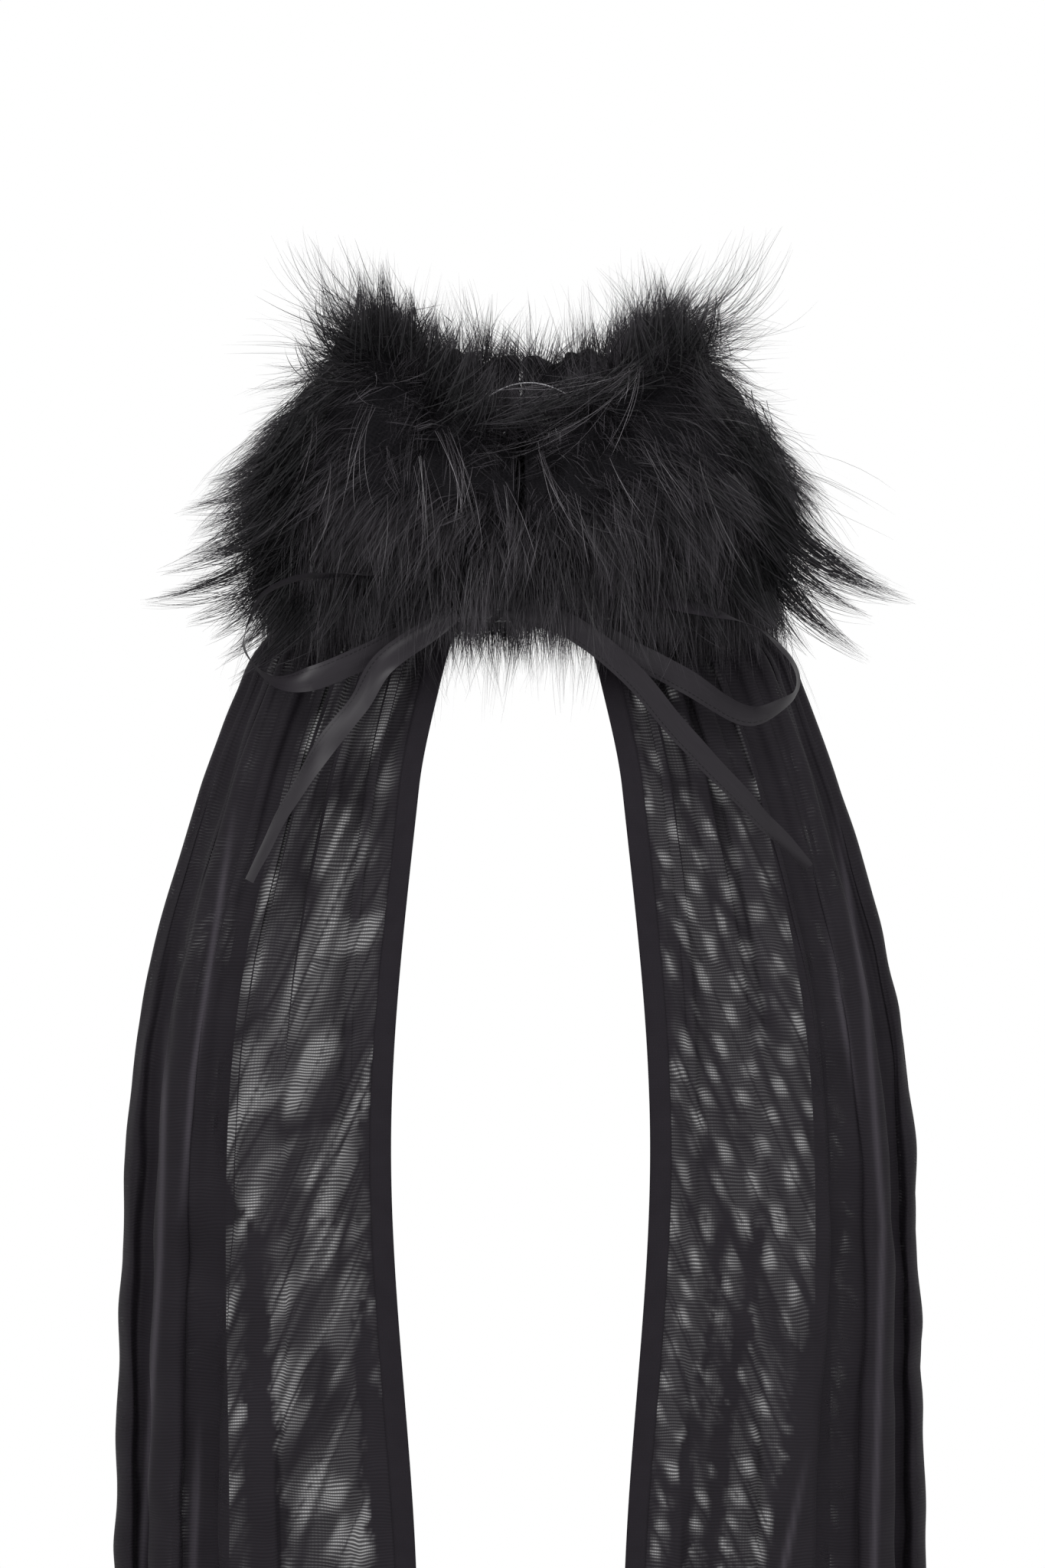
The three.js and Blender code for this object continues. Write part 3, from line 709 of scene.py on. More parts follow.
# Loose locks that handling has pulled out of the lie of the pile. Each goes from one point to another across
# the front, in mm: x and z of its root, x and z of its tip, its bow to one side, and its number of hairs.
POINTED_LOCKS = (
    (-100, 176, -104, 228, 0.0, 70), (-88, 180, -91, 230, 0.0, 60), (-112, 172, -143, 204, 0.10, 50),
    (-118, 160, -150, 183, 0.12, 45), (-112, 178, -130, 216, 0.08, 40), (-74, 176, -72, 214, 0.0, 60),
    (-62, 166, -54, 200, 0.0, 90), (-50, 152, -40, 190, 0.0, 110), (-42, 138, -29, 184, -0.04, 110),
    (-38, 128, -16, 165, -0.10, 80), (-34, 122, -20, 148, -0.05, 60),
    (102, 176, 108, 217, 0.0, 70), (112, 176, 127, 216, -0.08, 50), (92, 174, 91, 227, 0.0, 45),
    (80, 168, 74, 200, 0.0, 60), (84, 160, 52, 150, 0.05, 30), (76, 152, 36, 138, 0.05, 30),
    (60, 148, 14, 132, 0.05, 30), (40, 142, -10, 128, 0.05, 30), (20, 134, -32, 120, 0.05, 30),
    (-140, 124, -206, 84, 0.12, 100), (-142, 112, -222, 66, 0.12, 110), (-148, 100, -213, 52, 0.12, 90),
    (-150, 88, -216, 38, 0.12, 90), (-150, 76, -232, 27, 0.12, 90), (-152, 58, -207, 34, 0.08, 80),
    (-152, 50, -244, 8, 0.12, 110), (-152, 36, -217, -5, 0.10, 80), (-155, 26, -203, -16, 0.08, 70),
    (-150, 14, -199, -34, 0.08, 60), (-140, 6, -187, -44, 0.06, 45), (-132, 140, -178, 118, 0.10, 60),
    (158, 84, 254, 8, -0.12, 130), (158, 70, 240, 8, -0.10, 100), (158, 54, 228, -2, -0.10, 80),
    (156, 42, 226, -30, -0.08, 70), (156, 46, 206, -17, -0.06, 60), (150, 32, 188, -26, -0.05, 60),
    (142, 26, 172, -16, -0.05, 50), (150, 112, 196, 66, -0.10, 70), (146, 128, 184, 96, -0.10, 50),
    (-120, 20, -134, -22, 0.05, 40), (-92, 14, -98, -20, 0.05, 40), (118, 16, 136, -24, -0.05, 40),
)
WISPS = (
    (-105, 185, -156, 252, 0.10, 12), (-108, 188, -138, 254, 0.12, 14), (-102, 196, -146, 251, 0.10, 14),
    (-104, 190, -161, 238, 0.08, 10), (-98, 204, -120, 253, 0.06, 10), (-110, 180, -175, 209, 0.03, 5),
    (-112, 172, -192, 215, -0.02, 3), (-114, 166, -177, 192, 0.02, 5), (-114, 160, -173, 162, 0.04, 20),
    (-118, 156, -172, 147, 0.05, 20), (-120, 152, -174, 136, 0.08, 20), (-138, 138, -178, 119, 0.08, 20),
    (104, 190, 150, 262, -0.12, 12), (108, 190, 161, 262, -0.14, 15), (112, 188, 171, 255, -0.14, 15),
    (112, 186, 180, 242, -0.14, 12), (113, 184, 174, 230, -0.12, 10), (114, 182, 163, 219, -0.10, 10),
    (114, 184, 181, 207, -0.12, 5), (115, 180, 194, 187, -0.05, 3), (116, 178, 183, 179, -0.06, 5),
    (116, 174, 177, 139, -0.30, 20), (118, 172, 157, 136, -0.32, 15), (140, 150, 190, 112, -0.10, 14),
    (-78, 34, -72, -42, 0.03, 12), (-56, 24, -52, -36, 0.03, 10), (-98, 30, -104, -34, 0.03, 10),
    (62, 30, 88, -46, -0.03, 14), (44, 24, 68, -48, -0.03, 10), (28, 22, 44, -30, -0.03, 10),
    (96, 30, 116, -40, -0.03, 12), (-30, 30, -28, -12, 0.0, 10), (8, 30, 12, -14, 0.0, 10),
)
# Locks painted pale as painted highlights, where guard hairs catch the light, in the same columns as the
# loose locks.
PALE_HIGHLIGHT_LOCKS = (
    (-49, 118, -40, 40, 0.05, 15), (-98, 134, -107, 66, -0.06, 10), (-135, 132, -156, 66, 0.05, 8),
    (-64, 97, -62, 14, 0.03, 9), (-14, 83, 3, 6, 0.04, 10), (12, 106, 43, 40, -0.05, 8),
    (84, 112, 120, 56, -0.06, 8), (116, 101, 141, 14, -0.06, 9), (77, 161, -38, 135, 0.06, 8),
    (77, 161, -30, 95, 0.08, 7), (71, 158, -3, 89, 0.06, 6), (78, 160, 55, 95, 0.05, 6),
    (76, 160, 60, 131, 0.03, 9), (-104, 144, -84, 134, -0.25, 2), (-100, 180, -79, 182, -0.08, 2),
    (-90, 155, -55, 158, -0.06, 2), (-36, 96, -34, 44, 0.04, 6), (60, 92, 84, 36, -0.04, 6),
    (-82, 78, -92, 22, 0.04, 5), (-120, 96, -142, 40, 0.05, 6), (34, 78, 52, 14, -0.04, 6),
)
# Pale hair colours: a painted highlight, darker at the root.
PALE_HIGHLIGHT_HAIR = hair_material(
    "pale_highlight_guard_hair", (0.06, 0.055, 0.062), (0.55, 0.52, 0.56), (0.75, 0.72, 0.75), 0.35, 0.5
)


def front_of_pile(x, z):
    """The point of the pile's outer face that is seen at x, z from the front."""
    degrees, v = patch_grid(np.linspace(2, 112, 111), np.linspace(0.1, 1, 91))
    point, out, _, _ = collar_axes(1 if x > 0 else -1, degrees, v)
    point = point + out * pile_depth(v)[..., None] * 0.8
    miss = np.hypot(point[..., 0] - x, point[..., 2] - z) + 0.12 * point[..., 1]
    return point.reshape(-1, 3)[np.argmin(miss)]


def laid_locks(table, rng, root_spread, tip_spread, gather, proud, steps=9):
    """Lines of hair for a table of locks that are laid from point to point across the front."""
    lines = []
    for x0, z0, x1, z1, bow, hairs in table:
        root = np.array([x0, 0, z0]) / 1000
        tip = np.array([x1, 0, z1]) / 1000
        root[1] = front_of_pile(root[0], root[2])[1]
        seen = front_of_pile(tip[0], tip[2])
        off_pile = math.hypot(seen[0] - tip[0], seen[2] - tip[2]) > 0.012
        tip[1] = (root[1] if off_pile else min(root[1], seen[1])) - proud
        way = np.linspace(0, 1, steps + 1)[None, :, None]
        start = root + rng.normal(0, root_spread, (hairs, 1, 3))
        aim = root + (tip - root) * rng.uniform(0.62, 1.03, (hairs, 1, 1))
        end = aim + (start - root) * (1 - gather) + rng.normal(0, tip_spread, (hairs, 1, 3)) * [1, 0.6, 1]
        reach = np.linalg.norm(end - start, axis=-1, keepdims=True)
        aside = np.cross(unit(end - start), [0.0, 1.0, 0.0])
        bend = bow * reach * rng.uniform(0.5, 1.4, (hairs, 1, 1)) * 4 * way * (1 - way)
        forward = np.array([0, -1.0, 0]) * proud * np.sin(np.pi * way)
        lines.append(start + (end - start) * way + aside * bend + forward)
    return lines


for word, side in HALVES.items():
    rng = np.random.default_rng({"left": 401, "right": 402}[word])
    for kind, table, root_spread, tip_spread, gather, proud, width, tones, material in (
        ("pointed_locks", POINTED_LOCKS, 0.0085, 0.0014, 0.85, 0.002, 0.00060, (0.1, 0.7), UNDERCOAT_HAIR),
        ("wisps", WISPS, 0.0050, 0.0045, 0.4, 0.004, 0.00036, (0.05, 0.5), GUARD_HAIR),
        ("pale_highlight_locks", PALE_HIGHLIGHT_LOCKS, 0.0030, 0.0075, 0.3, 0.010, 0.00027, (0.1, 0.9), PALE_HIGHLIGHT_HAIR),
    ):
        own = [lock for lock in table if lock[0] * side > 0]
        line = keep_close(np.concatenate(laid_locks(own, rng, root_spread, tip_spread, gather, proud)))
        count = len(line)
        widths = width * rng.uniform(0.7, 1.3, count)
        piece = hair_piece(f"{kind}_{word}", line, widths, rng.uniform(*tones, count), material, rng)
        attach(piece, f"{word}_collar")


# ---------------------------------------------------------------------------------------------------------
# Sheer panels: a length of fine stretch mesh over each shoulder, gathered into the header and left to hang.
# Small gathers at the top run out into a few broad folds. The long edges and the foot are turned twice.
PANEL_LENGTH = 1.0
PANEL_FLAT_WIDTH = 0.42
PANEL_WRAP_DEG = 140.0
HEM_WIDTH = 0.013
HEM_HALF_THICKNESS = 0.0007
BOTTOM_HEM = 0.016
INNER_EDGE = ((0, 0.0384), (0.05, 0.052), (0.12, 0.066), (0.35, 0.084), (0.62, 0.068), (1, 0.056))
OUTER_EDGE = (
    (0, 0.073), (0.010, 0.145), (0.025, 0.172), (0.054, 0.187), (0.12, 0.211), (0.24, 0.245), (0.35, 0.259),
    (0.62, 0.266), (1, 0.276),
)
HALF_DEPTH = ((0, 0.059), (0.05, 0.092), (0.12, 0.104), (0.35, 0.108), (1, 0.106))
ROW_PITCH = 0.0021
COLUMN_PITCH = 0.0011


def at_depth(pairs, depth):
    """A smooth value through (depth, value) pairs."""
    at, value = (np.array(column, float) for column in zip(*pairs))
    before = np.maximum(np.arange(len(at)) - 1, 0)
    after = np.minimum(np.arange(len(at)) + 1, len(at) - 1)
    slope = (value[after] - value[before]) / (at[after] - at[before])
    high = np.clip(np.searchsorted(at, depth), 1, len(at) - 1)
    low = high - 1
    span = at[high] - at[low]
    f = (depth - at[low]) / span
    rise = f * f * (3 - 2 * f)
    curved = slope[low] * f * (1 - f) ** 2 * span + slope[high] * f * f * (f - 1) * span
    return value[low] + (value[high] - value[low]) * rise + curved


def panel_base(side, s, depth):
    """The panel without folds. s is 0 at its front edge and 1 at its back edge."""
    angle = np.radians(PANEL_WRAP_DEG) * s
    inner, outer = at_depth(INNER_EDGE, depth), at_depth(OUTER_EDGE, depth)
    x = inner + (outer - inner) * np.sin(angle)
    y = -at_depth(HALF_DEPTH, depth) * np.cos(angle)
    return np.stack((side * x, y, SEAM_HEIGHT - depth), axis=-1)


def panel_folds(word, s, depth):
    """Fold height and sideways drift of the cloth, in metres, at each place."""
    seed = {"left": 70, "right": 90}[word]
    edge = np.clip(np.minimum(s / 0.10, (1 - s) / 0.04), 0, 1) ** 1.2
    wander = 0.5 * value_noise(s * 3, depth * 2.2, seed) + 0.25 * value_noise(s * 7, depth * 5, seed + 1)
    gathers = np.interp(depth, (0, 0.05, 0.2, 0.45, 1), (0.0035, 0.0042, 0.0028, 0.0010, 0.0006))
    at_side = np.sin(np.radians(PANEL_WRAP_DEG) * s) ** 2
    gathers = gathers * (1 - 0.75 * at_side)
    small = 2 * np.pi * (17 * s + 1.2 * wander + 0.8 * value_noise(s * 11, depth * 3, seed + 2))
    broad_rise = np.interp(depth, (0, 0.1, 0.35, 0.7, 1), (0.001, 0.003, 0.005, 0.008, 0.011))
    broad = 2 * np.pi * (5.5 * s + 0.9 * wander)
    wrinkle = value_noise(s * 18 + depth * 16, depth * 26 - s * 9, seed + 3) - 0.5
    crumple = np.interp(depth, (0, 0.25, 0.45, 0.8, 1), (0.001, 0.003, 0.005, 0.003, 0.002))
    rise = gathers * np.cos(small) + broad_rise * np.cos(broad) + crumple * wrinkle
    drift = 0.0024 * gathers / 0.0042 * np.sin(2 * small) + 0.9 * broad_rise * np.sin(2 * broad)
    return (rise + 0.5 * at_side * broad_rise) * edge, drift * edge


def panel_point(word, s, depth):
    """A point on the hanging cloth, with its folds."""
    side = HALVES[word]
    base = panel_base(side, s, depth)
    small = 1e-3
    across = unit(panel_base(side, s + small, depth) - panel_base(side, s - small, depth))
    lower, higher = np.minimum(depth + small, 1), np.maximum(depth - small, 0)
    down = unit(panel_base(side, s, lower) - panel_base(side, s, higher))
    out = unit(np.cross(across, down)) * side
    rise, drift = panel_folds(word, s, depth)
    return base + out * rise[..., None] + across * drift[..., None], out


# Where the cloth lies single and flat, light comes through it in long windows between the folds. Each window
# is a run of (height, nearer edge, farther edge) in mm, the edges measured from the middle of the body.
WINDOWS = {
    "left": (
        (
            (-214, 100, 178), (-243, 90, 186), (-264, 94, 190), (-319, 101, 204), (-369, 99, 195),
            (-400, 98, 172),
        ),
        (
            (-390, 98, 172), (-419, 98, 168), (-469, 108, 163), (-519, 105, 159), (-569, 100, 154),
            (-619, 95, 152), (-975, 90, 150),
        ),
        ((-399, 180, 198), (-469, 180, 200), (-549, 178, 199), (-619, 178, 198), (-960, 182, 204)),
        ((-444, 92, 100), (-500, 91, 98)),
        ((-399, 214, 221), (-489, 213, 219)),
        ((-551, 216, 228), (-700, 214, 232), (-940, 218, 240)),
        ((-74, 187, 202), (-129, 195, 215), (-174, 198, 226), (-224, 205, 229), (-269, 209, 222)),
        ((-12, 70, 172), (-49, 66, 176), (-89, 74, 184), (-129, 80, 196), (-174, 85, 204), (-234, 92, 196)),
    ),
    "right": (
        (
            (-51, 70, 90), (-89, 74, 125), (-139, 83, 162), (-189, 90, 185), (-239, 94, 192),
            (-289, 96, 205), (-349, 95, 215), (-394, 93, 207),
        ),
        ((-385, 91, 128), (-469, 90, 122), (-544, 88, 105), (-619, 84, 92), (-960, 80, 92)),
        ((-385, 135, 155), (-469, 125, 138), (-544, 113, 125), (-619, 108, 118), (-975, 100, 114)),
        ((-385, 162, 200), (-469, 150, 185), (-544, 135, 170), (-619, 128, 162), (-975, 118, 152)),
        ((-390, 214, 221), (-449, 203, 217), (-544, 198, 215), (-619, 190, 210), (-900, 186, 208)),
        ((-60, 136, 150), (-119, 142, 160), (-164, 148, 162)),
        (
            (-41, 164, 168), (-64, 168, 180), (-99, 172, 188), (-139, 182, 197), (-179, 190, 205),
            (-239, 198, 212), (-279, 210, 217),
        ),
        ((-119, 200, 205), (-179, 208, 212)),
        ((-6, 92, 142), (-46, 96, 140)),
    ),
}
# Painted highlights: soft lines of light painted into the colour along the tops of the long folds, as runs
# of (height, distance from the middle) in mm.
FOLD_RIDGES = {
    "left": (
        ((-260, 232), (-420, 236), (-620, 249), (-1000, 262)),
        ((-520, 210), (-620, 214), (-1000, 222)),
        ((-120, 186), (-300, 214), (-400, 222)),
    ),
    "right": (
        ((-120, 205), (-250, 226), (-400, 237), (-620, 231), (-1000, 240)),
        ((-540, 188), (-620, 171), (-1000, 160)),
        ((-200, 200), (-330, 222)),
    ),
}


def openness(word, s, depth, points):
    """The share of light that the cloth lets through at each place, from 0 to 1."""
    seed = {"left": 170, "right": 190}[word]
    height = points[..., 2] * 1000
    across = np.abs(points[..., 0]) * 1000
    ragged = (value_noise(across / 5, height / 9, seed) - 0.5) * 9
    ragged = ragged + (value_noise(across / 2, height / 3, seed + 5) - 0.5) * 4
    opened = np.zeros_like(across)
    for run in WINDOWS[word]:
        level, near, far = (np.array(column, float) for column in zip(*run[::-1]))
        inside = np.minimum(across - np.interp(height, level, near), np.interp(height, level, far) - across)
        ends = np.minimum(level[-1] - height, height - level[0]) / 2
        opened = np.maximum(opened, np.clip((np.minimum(inside, ends) + ragged) / 5 + 0.3, 0, 1))
    front = np.clip((0.5 - s * PANEL_WRAP_DEG / 180) * 30, 0, 1)
    outward = across + height * 0.42
    drift = value_noise(across / 45, height / 70, seed + 1) * 0.7
    if word == "right":
        lattice = across + height * 0.30
        spots = np.cos(2 * np.pi * (lattice / 23 + drift)) * np.cos(2 * np.pi * (height / 40 + drift))
        spots = 1.15 * spots - 0.05
    else:
        spots = 2.6 * value_noise(outward / 15, height / 26, seed + 2) - 1.1
    spots = np.clip(spots + 0.7 * (value_noise(outward / 6, height / 16, seed + 3) - 0.5), 0, 1)
    crease = np.abs(value_noise(outward / 12, height / 75, seed + 4) - 0.5) * 8
    gather = value_noise(outward / 6.5, height / 170, seed + 5)
    banded = np.interp(height, (-260, -120), (0, 1))
    low_ladder = np.clip(np.abs(gather - 0.5) * 10, 0.3, 1)
    high_ladder = np.clip((gather - 0.42) * 7, 0.1, 1)
    ladder = (1 - banded) * low_ladder + banded * high_ladder
    through = (0.16 + 0.84 * spots**1.4) * np.clip(crease, 0.12, 1) * ladder
    through = through * np.interp(height, (-260, -90, -10), (0.75, 0.65, 0.35))
    streaks = np.clip(value_noise(s * 34 + 0.4 * drift, depth * 5, seed + 6) * 1.8 - 0.6, 0, 1)
    behind = 0.15 + 0.35 * streaks + 0.45 * opened
    angle = s * PANEL_WRAP_DEG
    rim = np.clip(1 - np.abs(angle - 90) / 20, 0, 1) * np.clip(-height / 60 - 1, 0, 1)
    dots = np.clip((value_noise(across / 1.3, height / 3, seed + 7) - 0.62) * 9, 0, 1) * rim
    under_fur = np.clip((-height - 14) / 14, 0, 1)
    light = np.maximum(np.where(front > 0, front * opened * through, behind), 0.8 * dots)
    return np.clip(light * under_fur, 0.004, 1)


def ridge_light(word, s, points):
    """How strongly a place lies on one of the painted highlight lines along the fold tops, from 0 to 1."""
    lit = np.zeros(points.shape[:2])
    for run in FOLD_RIDGES[word]:
        level, at = (np.array(column, float) / 1000 for column in zip(*run[::-1]))
        off = np.abs(np.abs(points[..., 0]) - np.interp(points[..., 2], level, at)) / 0.0022
        ends = np.clip(np.minimum(level[-1] - points[..., 2], points[..., 2] - level[0]) / 0.06, 0, 1)
        lit = np.maximum(lit, np.exp(-off**2) * ends)
    return lit * (s * PANEL_WRAP_DEG < 95)


def sheer_material(name, light_through, dark, light, ridge_highlight):
    """Knitted mesh: rows of fine holes. Open says how much light passes; a second mark places painted
    highlights that lighten the colour along the folds.
    """
    material, tree, shader = new_material(name, 0.62, 0.12)
    shader.inputs["Sheen Weight"].default_value = 0.03
    shader.inputs["Sheen Roughness"].default_value = 0.4
    place = uv_place(tree)
    across, along = split_place(tree, place)
    waver = tree.nodes.new("ShaderNodeTexNoise")
    waver.inputs["Scale"].default_value = 28.0
    tree.links.new(place, waver.inputs["Vector"])
    wavered = math_node(tree, "ADD", along, math_node(tree, "MULTIPLY", waver.outputs["Fac"], 0.010))
    rows = math_node(tree, "SINE", math_node(tree, "MULTIPLY", wavered, 2 * math.pi / ROW_PITCH))
    columns = math_node(tree, "SINE", math_node(tree, "MULTIPLY", across, 2 * math.pi / COLUMN_PITCH))
    row_share = math_node(tree, "MULTIPLY", math_node(tree, "ADD", rows, 1.0), 0.5)
    row_gap = math_node(tree, "POWER", row_share, 2.4)
    column_gap = math_node(tree, "ADD", math_node(tree, "MULTIPLY", columns, 0.22), 0.78)
    gaps = math_node(tree, "MULTIPLY", row_gap, column_gap)
    holes = math_node(tree, "ADD", math_node(tree, "MULTIPLY", gaps, 0.9), 0.1)
    marks = {}
    for label in ("Open", "RidgeHighlight"):
        marks[label] = tree.nodes.new("ShaderNodeAttribute")
        marks[label].attribute_name = label
    opened = math_node(tree, "MULTIPLY", holes, marks["Open"].outputs["Fac"])
    passed = math_node(tree, "MULTIPLY", opened, light_through)
    tree.links.new(math_node(tree, "SUBTRACT", 1.0, passed, clamp=True), shader.inputs["Alpha"])
    shade = math_node(tree, "ADD", math_node(tree, "MULTIPLY", rows, 0.2), waver.outputs["Fac"])
    tone = colour_between(tree, shade, dark, light)
    # Painted highlight: the colour is lightened along the marked fold tops.
    lit = colour_between(tree, marks["RidgeHighlight"].outputs["Fac"], tone, ridge_highlight)
    tree.links.new(lit, shader.inputs["Base Color"])
    add_relief(tree, shader, rows, 0.3, 0.0003)
    return material


# The last colour is the painted highlight colour along the fold tops.
PANEL_MESH = sheer_material(
    "sheer_mesh", 0.64, (0.011, 0.009, 0.012), (0.020, 0.017, 0.022), (0.052, 0.046, 0.056)
)
HEM_CLOTH = cloth_material(
    "turned_hem", (0.010, 0.008, 0.011), (0.020, 0.017, 0.022), 0.0009, 0.65, 0.12, 0.0002, 0.02
)


def bend_with_panel(piece):
    """The piece has its place baked into its points."""
    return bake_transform(piece)


def doubled_hem(name, word, s, depth, t, uv):
    """A hem of doubled cloth, thickest along its middle. t runs from 0 to 1 across it."""
    points, out = panel_point(word, s, depth)
    swell = HEM_HALF_THICKNESS * (0.6 + 0.4 * np.sin(np.pi * t))[..., None]
    hem = slab_piece(f"turned_{name}_{word}", points + out * swell, points - out * swell, HEM_CLOTH, uv)
    bend_with_panel(hem)
    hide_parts(f"{name}_{word}")
    return hem


def hem_share(depth):
    """The share of the panel's width that a side hem takes up."""
    reach = at_depth(OUTER_EDGE, depth) - at_depth(INNER_EDGE, depth)
    return HEM_WIDTH / reach / np.radians(PANEL_WRAP_DEG)


for word in HALVES:
    depth_line = 0.008 + (PANEL_LENGTH - 0.010) * np.linspace(0, 1, 330) ** 1.15
    s, depth = patch_grid(np.linspace(0, 1, 290), depth_line)
    share = hem_share(depth)
    s = share * 0.5 + s * (1 - share)
    points, _ = panel_point(word, s, depth)
    uv = np.stack((s * PANEL_FLAT_WIDTH, depth), axis=-1).reshape(-1, 2)
    panel = mesh_piece(f"sheer_panel_{word}", points.reshape(-1, 3), grid_quads(*s.shape), PANEL_MESH, uv)
    # Open is the light let through; the second mark places the painted highlights along the fold tops.
    marks = {"Open": openness(word, s, depth, points), "RidgeHighlight": ridge_light(word, s, points)}
    for label, values in marks.items():
        mark = panel.data.attributes.new(label, "FLOAT", "POINT")
        mark.data.foreach_set("value", values.ravel().astype(np.float32))
    bend_with_panel(panel)
    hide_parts(f"mesh_panel_{word}")
    for hem_name, from_front in (("front_hem", True), ("back_hem", False)):
        t, depth = patch_grid(np.linspace(0, 1, 9), depth_line)
        s = hem_share(depth) * t
        s = s if from_front else 1 - s
        uv = np.stack((t * HEM_WIDTH, depth), axis=-1)
        doubled_hem(hem_name, word, s, depth, t, uv)
    s, t = patch_grid(np.linspace(0, 1, 300), np.linspace(0, 1, 6))
    share = hem_share(np.array(PANEL_LENGTH))
    s = share + s * (1 - 2 * share)
    depth = PANEL_LENGTH - BOTTOM_HEM * t
    uv = np.stack((s * PANEL_FLAT_WIDTH, depth), axis=-1)
    doubled_hem("bottom_hem", word, s, depth, t, uv)
    header = f"panel_header_{word}"
    flat = (PANEL_FLAT_WIDTH, PANEL_LENGTH)


# ---------------------------------------------------------------------------------------------------------
# Ribbon bow: two satin ribbons sewn to the fronts of the neck binding and tied once, with long limp loops
# and slanting tails. A row of stitches runs near one edge of each ribbon.
RIBBON_WIDTH = 0.016
KNOT = {"x": -0.026, "y": -0.120, "z": 0.003, "width": 0.022, "depth": 0.018, "height": 0.015}
TIE_START_Y = -0.074
RIBBON_START_GAP = 0.004
KNOT_BACK = KNOT["y"] + KNOT["depth"] / 2 + 0.0004
KNOT_LEFT = KNOT["x"] - KNOT["width"] / 2 - RIBBON_START_GAP
KNOT_RIGHT = KNOT["x"] + KNOT["width"] / 2 + RIBBON_START_GAP
STITCH_PITCH = 0.0032
LOOP_Y, TAIL_Y = -0.116, -0.127
RIBBONS = {
    "tie_left": ("left_collar", None, RIBBON_WIDTH / 2, [
        (-0.012, TIE_START_Y, 0.001, 60), (-0.018, -0.090, -0.002, 30), (-0.024, KNOT_BACK, 0.002, 0)]),
    "tie_right": ("right_collar", None, RIBBON_WIDTH / 2, [
        (0.012, TIE_START_Y, 0.001, -60), (0.008, -0.090, -0.002, -30), (0.000, KNOT_BACK, 0.002, 0)]),
    "bow_loop_left": ("left_collar", "left_loop", RIBBON_WIDTH, [
        (KNOT_LEFT, LOOP_Y, 0.002, 0), (-0.062, LOOP_Y, -0.008, 0), (-0.101, LOOP_Y, -0.028, 0),
        (-0.136, LOOP_Y, -0.042, 10), (-0.161, LOOP_Y, -0.043, 60), (-0.179, LOOP_Y, -0.020, 90),
        (-0.168, LOOP_Y, 0.010, 90), (-0.136, LOOP_Y, 0.024, 90), (-0.100, LOOP_Y, 0.026, 90),
        (-0.060, LOOP_Y, 0.024, 60), (KNOT_LEFT, LOOP_Y, 0.017, 30)]),
    "bow_tail_left": ("left_collar", "left_tail", RIBBON_WIDTH, [
        (KNOT_LEFT, TAIL_Y, 0.000, 0), (-0.060, TAIL_Y, -0.012, 0), (-0.088, TAIL_Y, -0.032, 0),
        (-0.104, TAIL_Y, -0.057, 0), (-0.128, TAIL_Y, -0.088, 0), (-0.160, TAIL_Y, -0.140, 0),
        (-0.176, TAIL_Y, -0.173, 0)]),
    "bow_loop_right": ("right_collar", "right_loop", RIBBON_WIDTH, [
        (KNOT_RIGHT, LOOP_Y, 0.003, 0), (0.020, LOOP_Y, 0.001, 0), (0.056, LOOP_Y, -0.017, 0),
        (0.106, LOOP_Y, -0.043, 0), (0.150, LOOP_Y, -0.066, 40), (0.178, LOOP_Y, -0.052, 90),
        (0.175, LOOP_Y, -0.028, 90), (0.140, LOOP_Y, -0.004, 90), (0.100, LOOP_Y, 0.007, 60),
        (0.056, LOOP_Y, 0.015, 30), (0.020, LOOP_Y, 0.020, 20)]),
    "bow_tail_right": ("right_collar", "right_tail", RIBBON_WIDTH, [
        (KNOT_RIGHT, TAIL_Y, 0.001, 0), (0.026, TAIL_Y, -0.006, 0), (0.066, TAIL_Y, -0.034, 0),
        (0.106, TAIL_Y, -0.080, 0), (0.146, TAIL_Y, -0.122, 0), (0.186, TAIL_Y, -0.165, 0)]),
}


def smooth_route(stops, steps):
    """Points and turns along a centripetal curve through the stops."""
    stops = np.array(stops, float)
    points = stops[:, :3]
    padded = np.vstack([2 * points[0] - points[1], points, 2 * points[-1] - points[-2]])
    place = np.linspace(0, len(points) - 1, steps)
    at = np.minimum(place.astype(int), len(points) - 2)
    t = (place - at)[:, None]
    p0, p1, p2, p3 = (padded[at + k] for k in range(4))
    spans = [np.linalg.norm(b - a, axis=1, keepdims=True) for a, b in ((p0, p1), (p1, p2), (p2, p3))]
    before, here, after = (np.maximum(span**0.5, 1e-4) for span in spans)
    leave = ((p1 - p0) / before - (p2 - p0) / (before + here) + (p2 - p1) / here) * here
    arrive = ((p2 - p1) / here - (p3 - p1) / (here + after) + (p3 - p2) / after) * here
    line = p1 + leave * t + (3 * p2 - 3 * p1 - 2 * leave - arrive) * t**2
    line = line + (2 * p1 - 2 * p2 + leave + arrive) * t**3
    turns = np.interp(place, np.arange(len(points)), stops[:, 3])
    return line, np.radians(turns)


